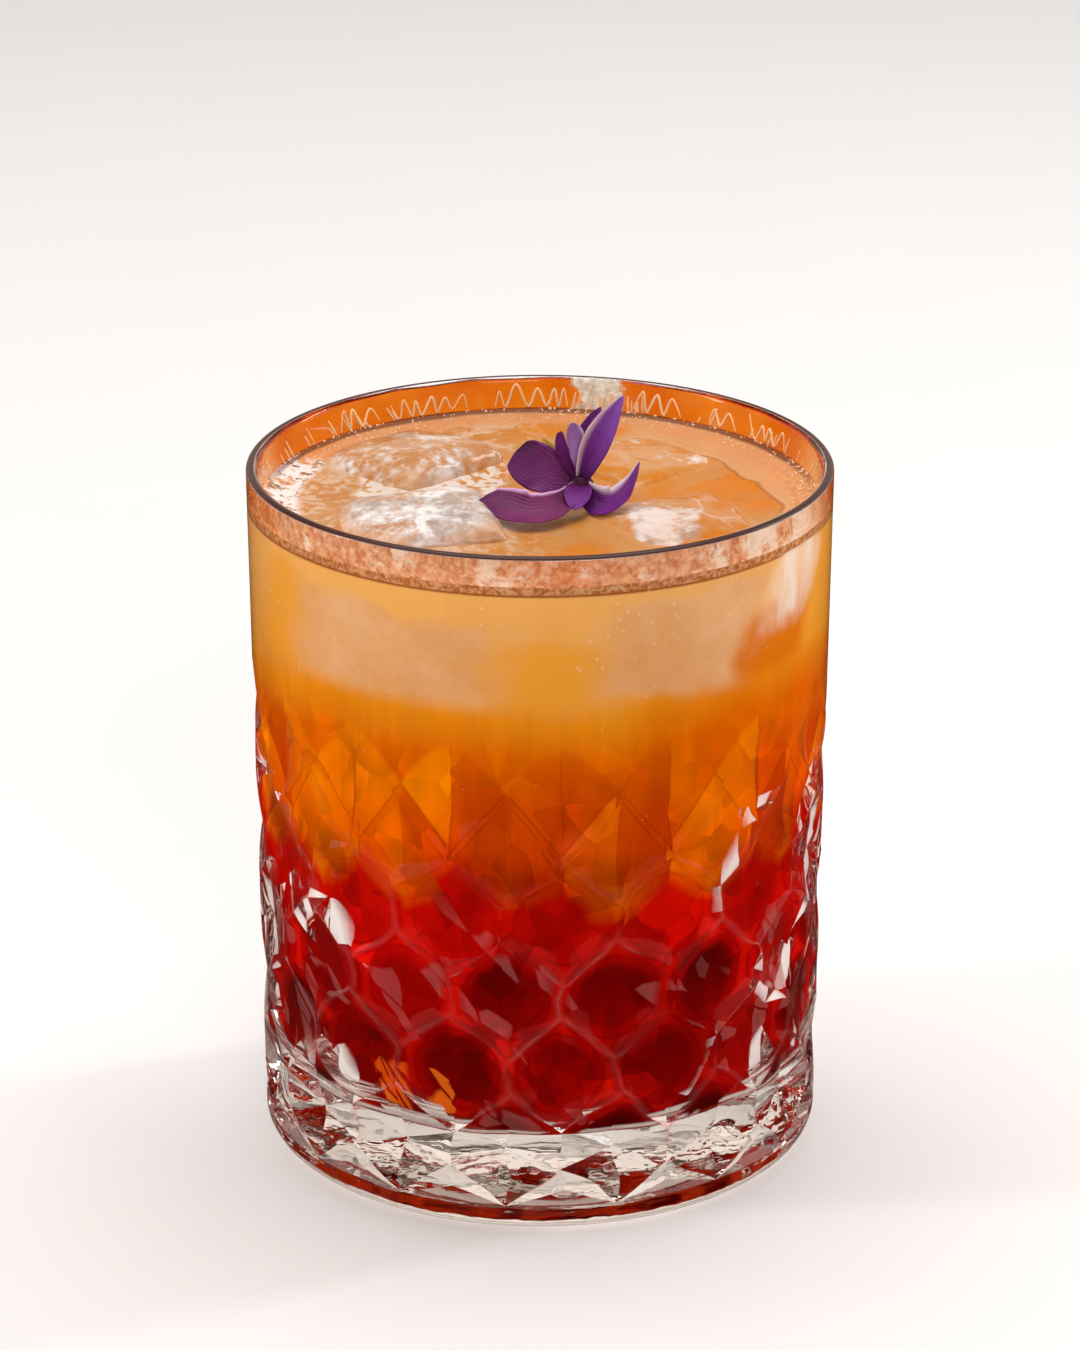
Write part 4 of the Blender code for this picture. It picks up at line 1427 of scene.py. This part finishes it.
def petal_material(name, base, middle, tip, edge, edge_share, left=False):
    """Petal skin: colour from root to tip, fine veins, and one paler curled edge that is partly the petal's
    own colour and partly a painted highlight.
    """
    s = Shader(name)
    place = s.place()
    along, across, _ = s.axes(s.attribute("petal", "Vector"))
    colour = s.ramp(along, ((0.0, base), (0.45, middle), (1.0, tip)))
    wander = s.sway(s.noise(place, 260.0, 3.0), 0.05)
    lines = s.math("SINE", s.product(s.plus(across, wander), 75.0))
    colour = s.tinted(s.product(s.span(lines, 0.2, 1.0), 0.2), colour, (0.45, 0.35, 0.5))
    blotch = s.span(s.noise(place, 420.0, 4.0), 0.35, 0.7, 0.0, 0.45)
    colour = s.tinted(blotch, colour, (0.5, 0.4, 0.55))
    # The pale curled edge: partly its own paler colour, partly a painted highlight where the curl catches
    # the light
    curl = (edge_share, 0.0) if left else (1.0 - edge_share, 1.0)
    s.skin(s.mix(s.span(across, *curl, smooth=True), colour, edge), 0.45, specular=0.2)
    s.bump(s.plus(s.product(lines, 0.5), s.noise(place, 1500.0, 3.0)), 0.06 * MM, 0.5)
    return s.material


def make_flower():
    plum, deep = srgb(104, 22, 84), srgb(66, 6, 48)
    purple, lilac = srgb(118, 36, 122), srgb(184, 134, 206)
    pink, cream, olive = srgb(222, 170, 214), srgb(236, 206, 218), srgb(196, 158, 42)
    tall, hook = (srgb(84, 20, 92), srgb(124, 48, 156), srgb(150, 90, 196)), srgb(108, 30, 122)
    skins = {
        "long_left": petal_material("plum_petal", deep, srgb(122, 34, 92), srgb(100, 20, 80), pink, 0.14),
        "broad_left": petal_material("broad_petal", deep, srgb(116, 34, 104), srgb(96, 24, 90), plum, 0.05),
        "pale_inner": petal_material("lilac_petal", purple, lilac, lilac, cream, 0.2),
        "front_tall": petal_material("tall_petal", *tall, cream, 0.26, left=True),
        "right_hook": petal_material("hook_petal", deep, hook, purple, cream, 0.3, left=True),
        "sepal": petal_material("sepal_skin", olive, olive, srgb(214, 176, 60), olive, 0.1),
    }
    plain = petal_material("purple_petal", deep, srgb(108, 30, 112), srgb(122, 46, 146), plum, 0.08)
    for index, (name, *shape) in enumerate(PETALS):
        obj = make_petal(name, petal_rows(*shape, wave=1.7 * index), skins.get(name, plain))
        stand_for(obj, "purple_petal", *(["flower"] if index == 0 else []))
    bm = bmesh.new()
    bmesh.ops.create_icosphere(bm, subdivisions=4, radius=RECEPTACLE_RADIUS)
    for vert in bm.verts:
        vert.co *= 1 + 0.08 * noise.noise(vert.co * 1800)
    bmesh.ops.scale(bm, vec=(1.1, 1.0, 0.8), verts=bm.verts)
    bmesh.ops.translate(bm, vec=FLOWER_MIDDLE, verts=bm.verts)
    stand_for(make_object("flower_middle", bm, plain), "purple_petal")


def make_stage():
    s = Shader("pale_floor")
    s.skin(s.mix(s.noise(s.place(), 30.0, 3.0), (0.86, 0.85, 0.84), (0.88, 0.87, 0.86)), 0.6, specular=0.1)
    bm = bmesh.new()
    bmesh.ops.create_circle(bm, cap_ends=True, segments=96, radius=6.0)
    mesh = bpy.data.meshes.new("floor")
    bm.to_mesh(mesh)
    bm.free()
    mesh.materials.append(s.material)
    floor = placed("floor", mesh)
    floor.visible_glossy = False  # a dark table takes its place in the glass's reflections
    floor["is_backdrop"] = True


def add_light(name, place, target, size, power, colour=(1.0, 1.0, 1.0)):
    lamp = bpy.data.lights.new(name, "AREA")
    lamp.shape = "RECTANGLE"
    lamp.size, lamp.size_y = size
    lamp.energy = power
    lamp.color = colour
    obj = placed(name, lamp)
    obj.visible_camera = False
    obj.location = place
    obj.rotation_euler = (Vector(target) - Vector(place)).to_track_quat("-Z", "Y").to_euler()


def make_world():
    """A bright band behind and beside the drink, darker overhead and in front, dark below."""
    world = bpy.data.worlds.new("studio")
    world.use_nodes = True
    n = Nodes(world.node_tree)
    _, y, z = n.axes(n.add("ShaderNodeTexCoord").outputs["Generated"])
    stops = (
        (HORIZON - 0.01, (0.05, 0.02, 0.014)),
        (HORIZON, (0.86, 0.80, 0.75)),
        (HORIZON + 0.38, (0.70, 0.62, 0.56)),
        (HORIZON + 0.62, (0.10, 0.075, 0.06)),
    )
    background = n.nodes["Background"].inputs
    n.feed(background["Color"], n.ramp(n.plus(z, HORIZON), stops))
    n.feed(background["Strength"], n.span(y, -0.9, 0.5, 0.25, 1.0))
    bpy.context.scene.world = world


def make_lights():
    middle = (0.0, 0.0, 0.06)
    add_light("overhead", (0.0, 0.2, 1.3), middle, (1.3, 1.0), 16.0)
    add_light("window_left", (-0.9, -0.15, 0.55), middle, (0.12, 0.6), 2.4, (1.0, 0.98, 0.95))
    add_light("window_right", (0.8, 0.35, 0.5), middle, (0.1, 0.5), 2.4)
    add_light("front_fill", (0.3, -1.3, 0.9), middle, (0.6, 0.4), 5.5)
    make_world()


def make_camera():
    camera = bpy.data.cameras.new("camera")
    camera.lens = LENS_MM
    camera.sensor_width = SENSOR_MM
    obj = placed("camera", camera)
    obj.location = CAMERA_PLACE
    obj.rotation_euler = (math.radians(90 - CAMERA_DOWN), 0, 0)
    bpy.context.scene.camera = obj


def set_view():
    scene = bpy.context.scene
    scene.view_settings.view_transform = "Standard"
    scene.cycles.max_bounces = 24
    scene.cycles.transmission_bounces = 20
    scene.cycles.glossy_bounces = 8
    scene.cycles.transparent_max_bounces = 24


def corners(box):
    return [list(map(float, corner)) for corner in box]


def main():
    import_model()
    cad_box = corners(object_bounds())
    make_camera()
    make_stage()
    make_lights()
    set_view()
    make_tumbler()
    make_drink(make_ice())
    make_film()
    make_drips()
    make_bubbles()
    make_flower()
    {"cad": cad_box, "visual": corners(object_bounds())}


main()
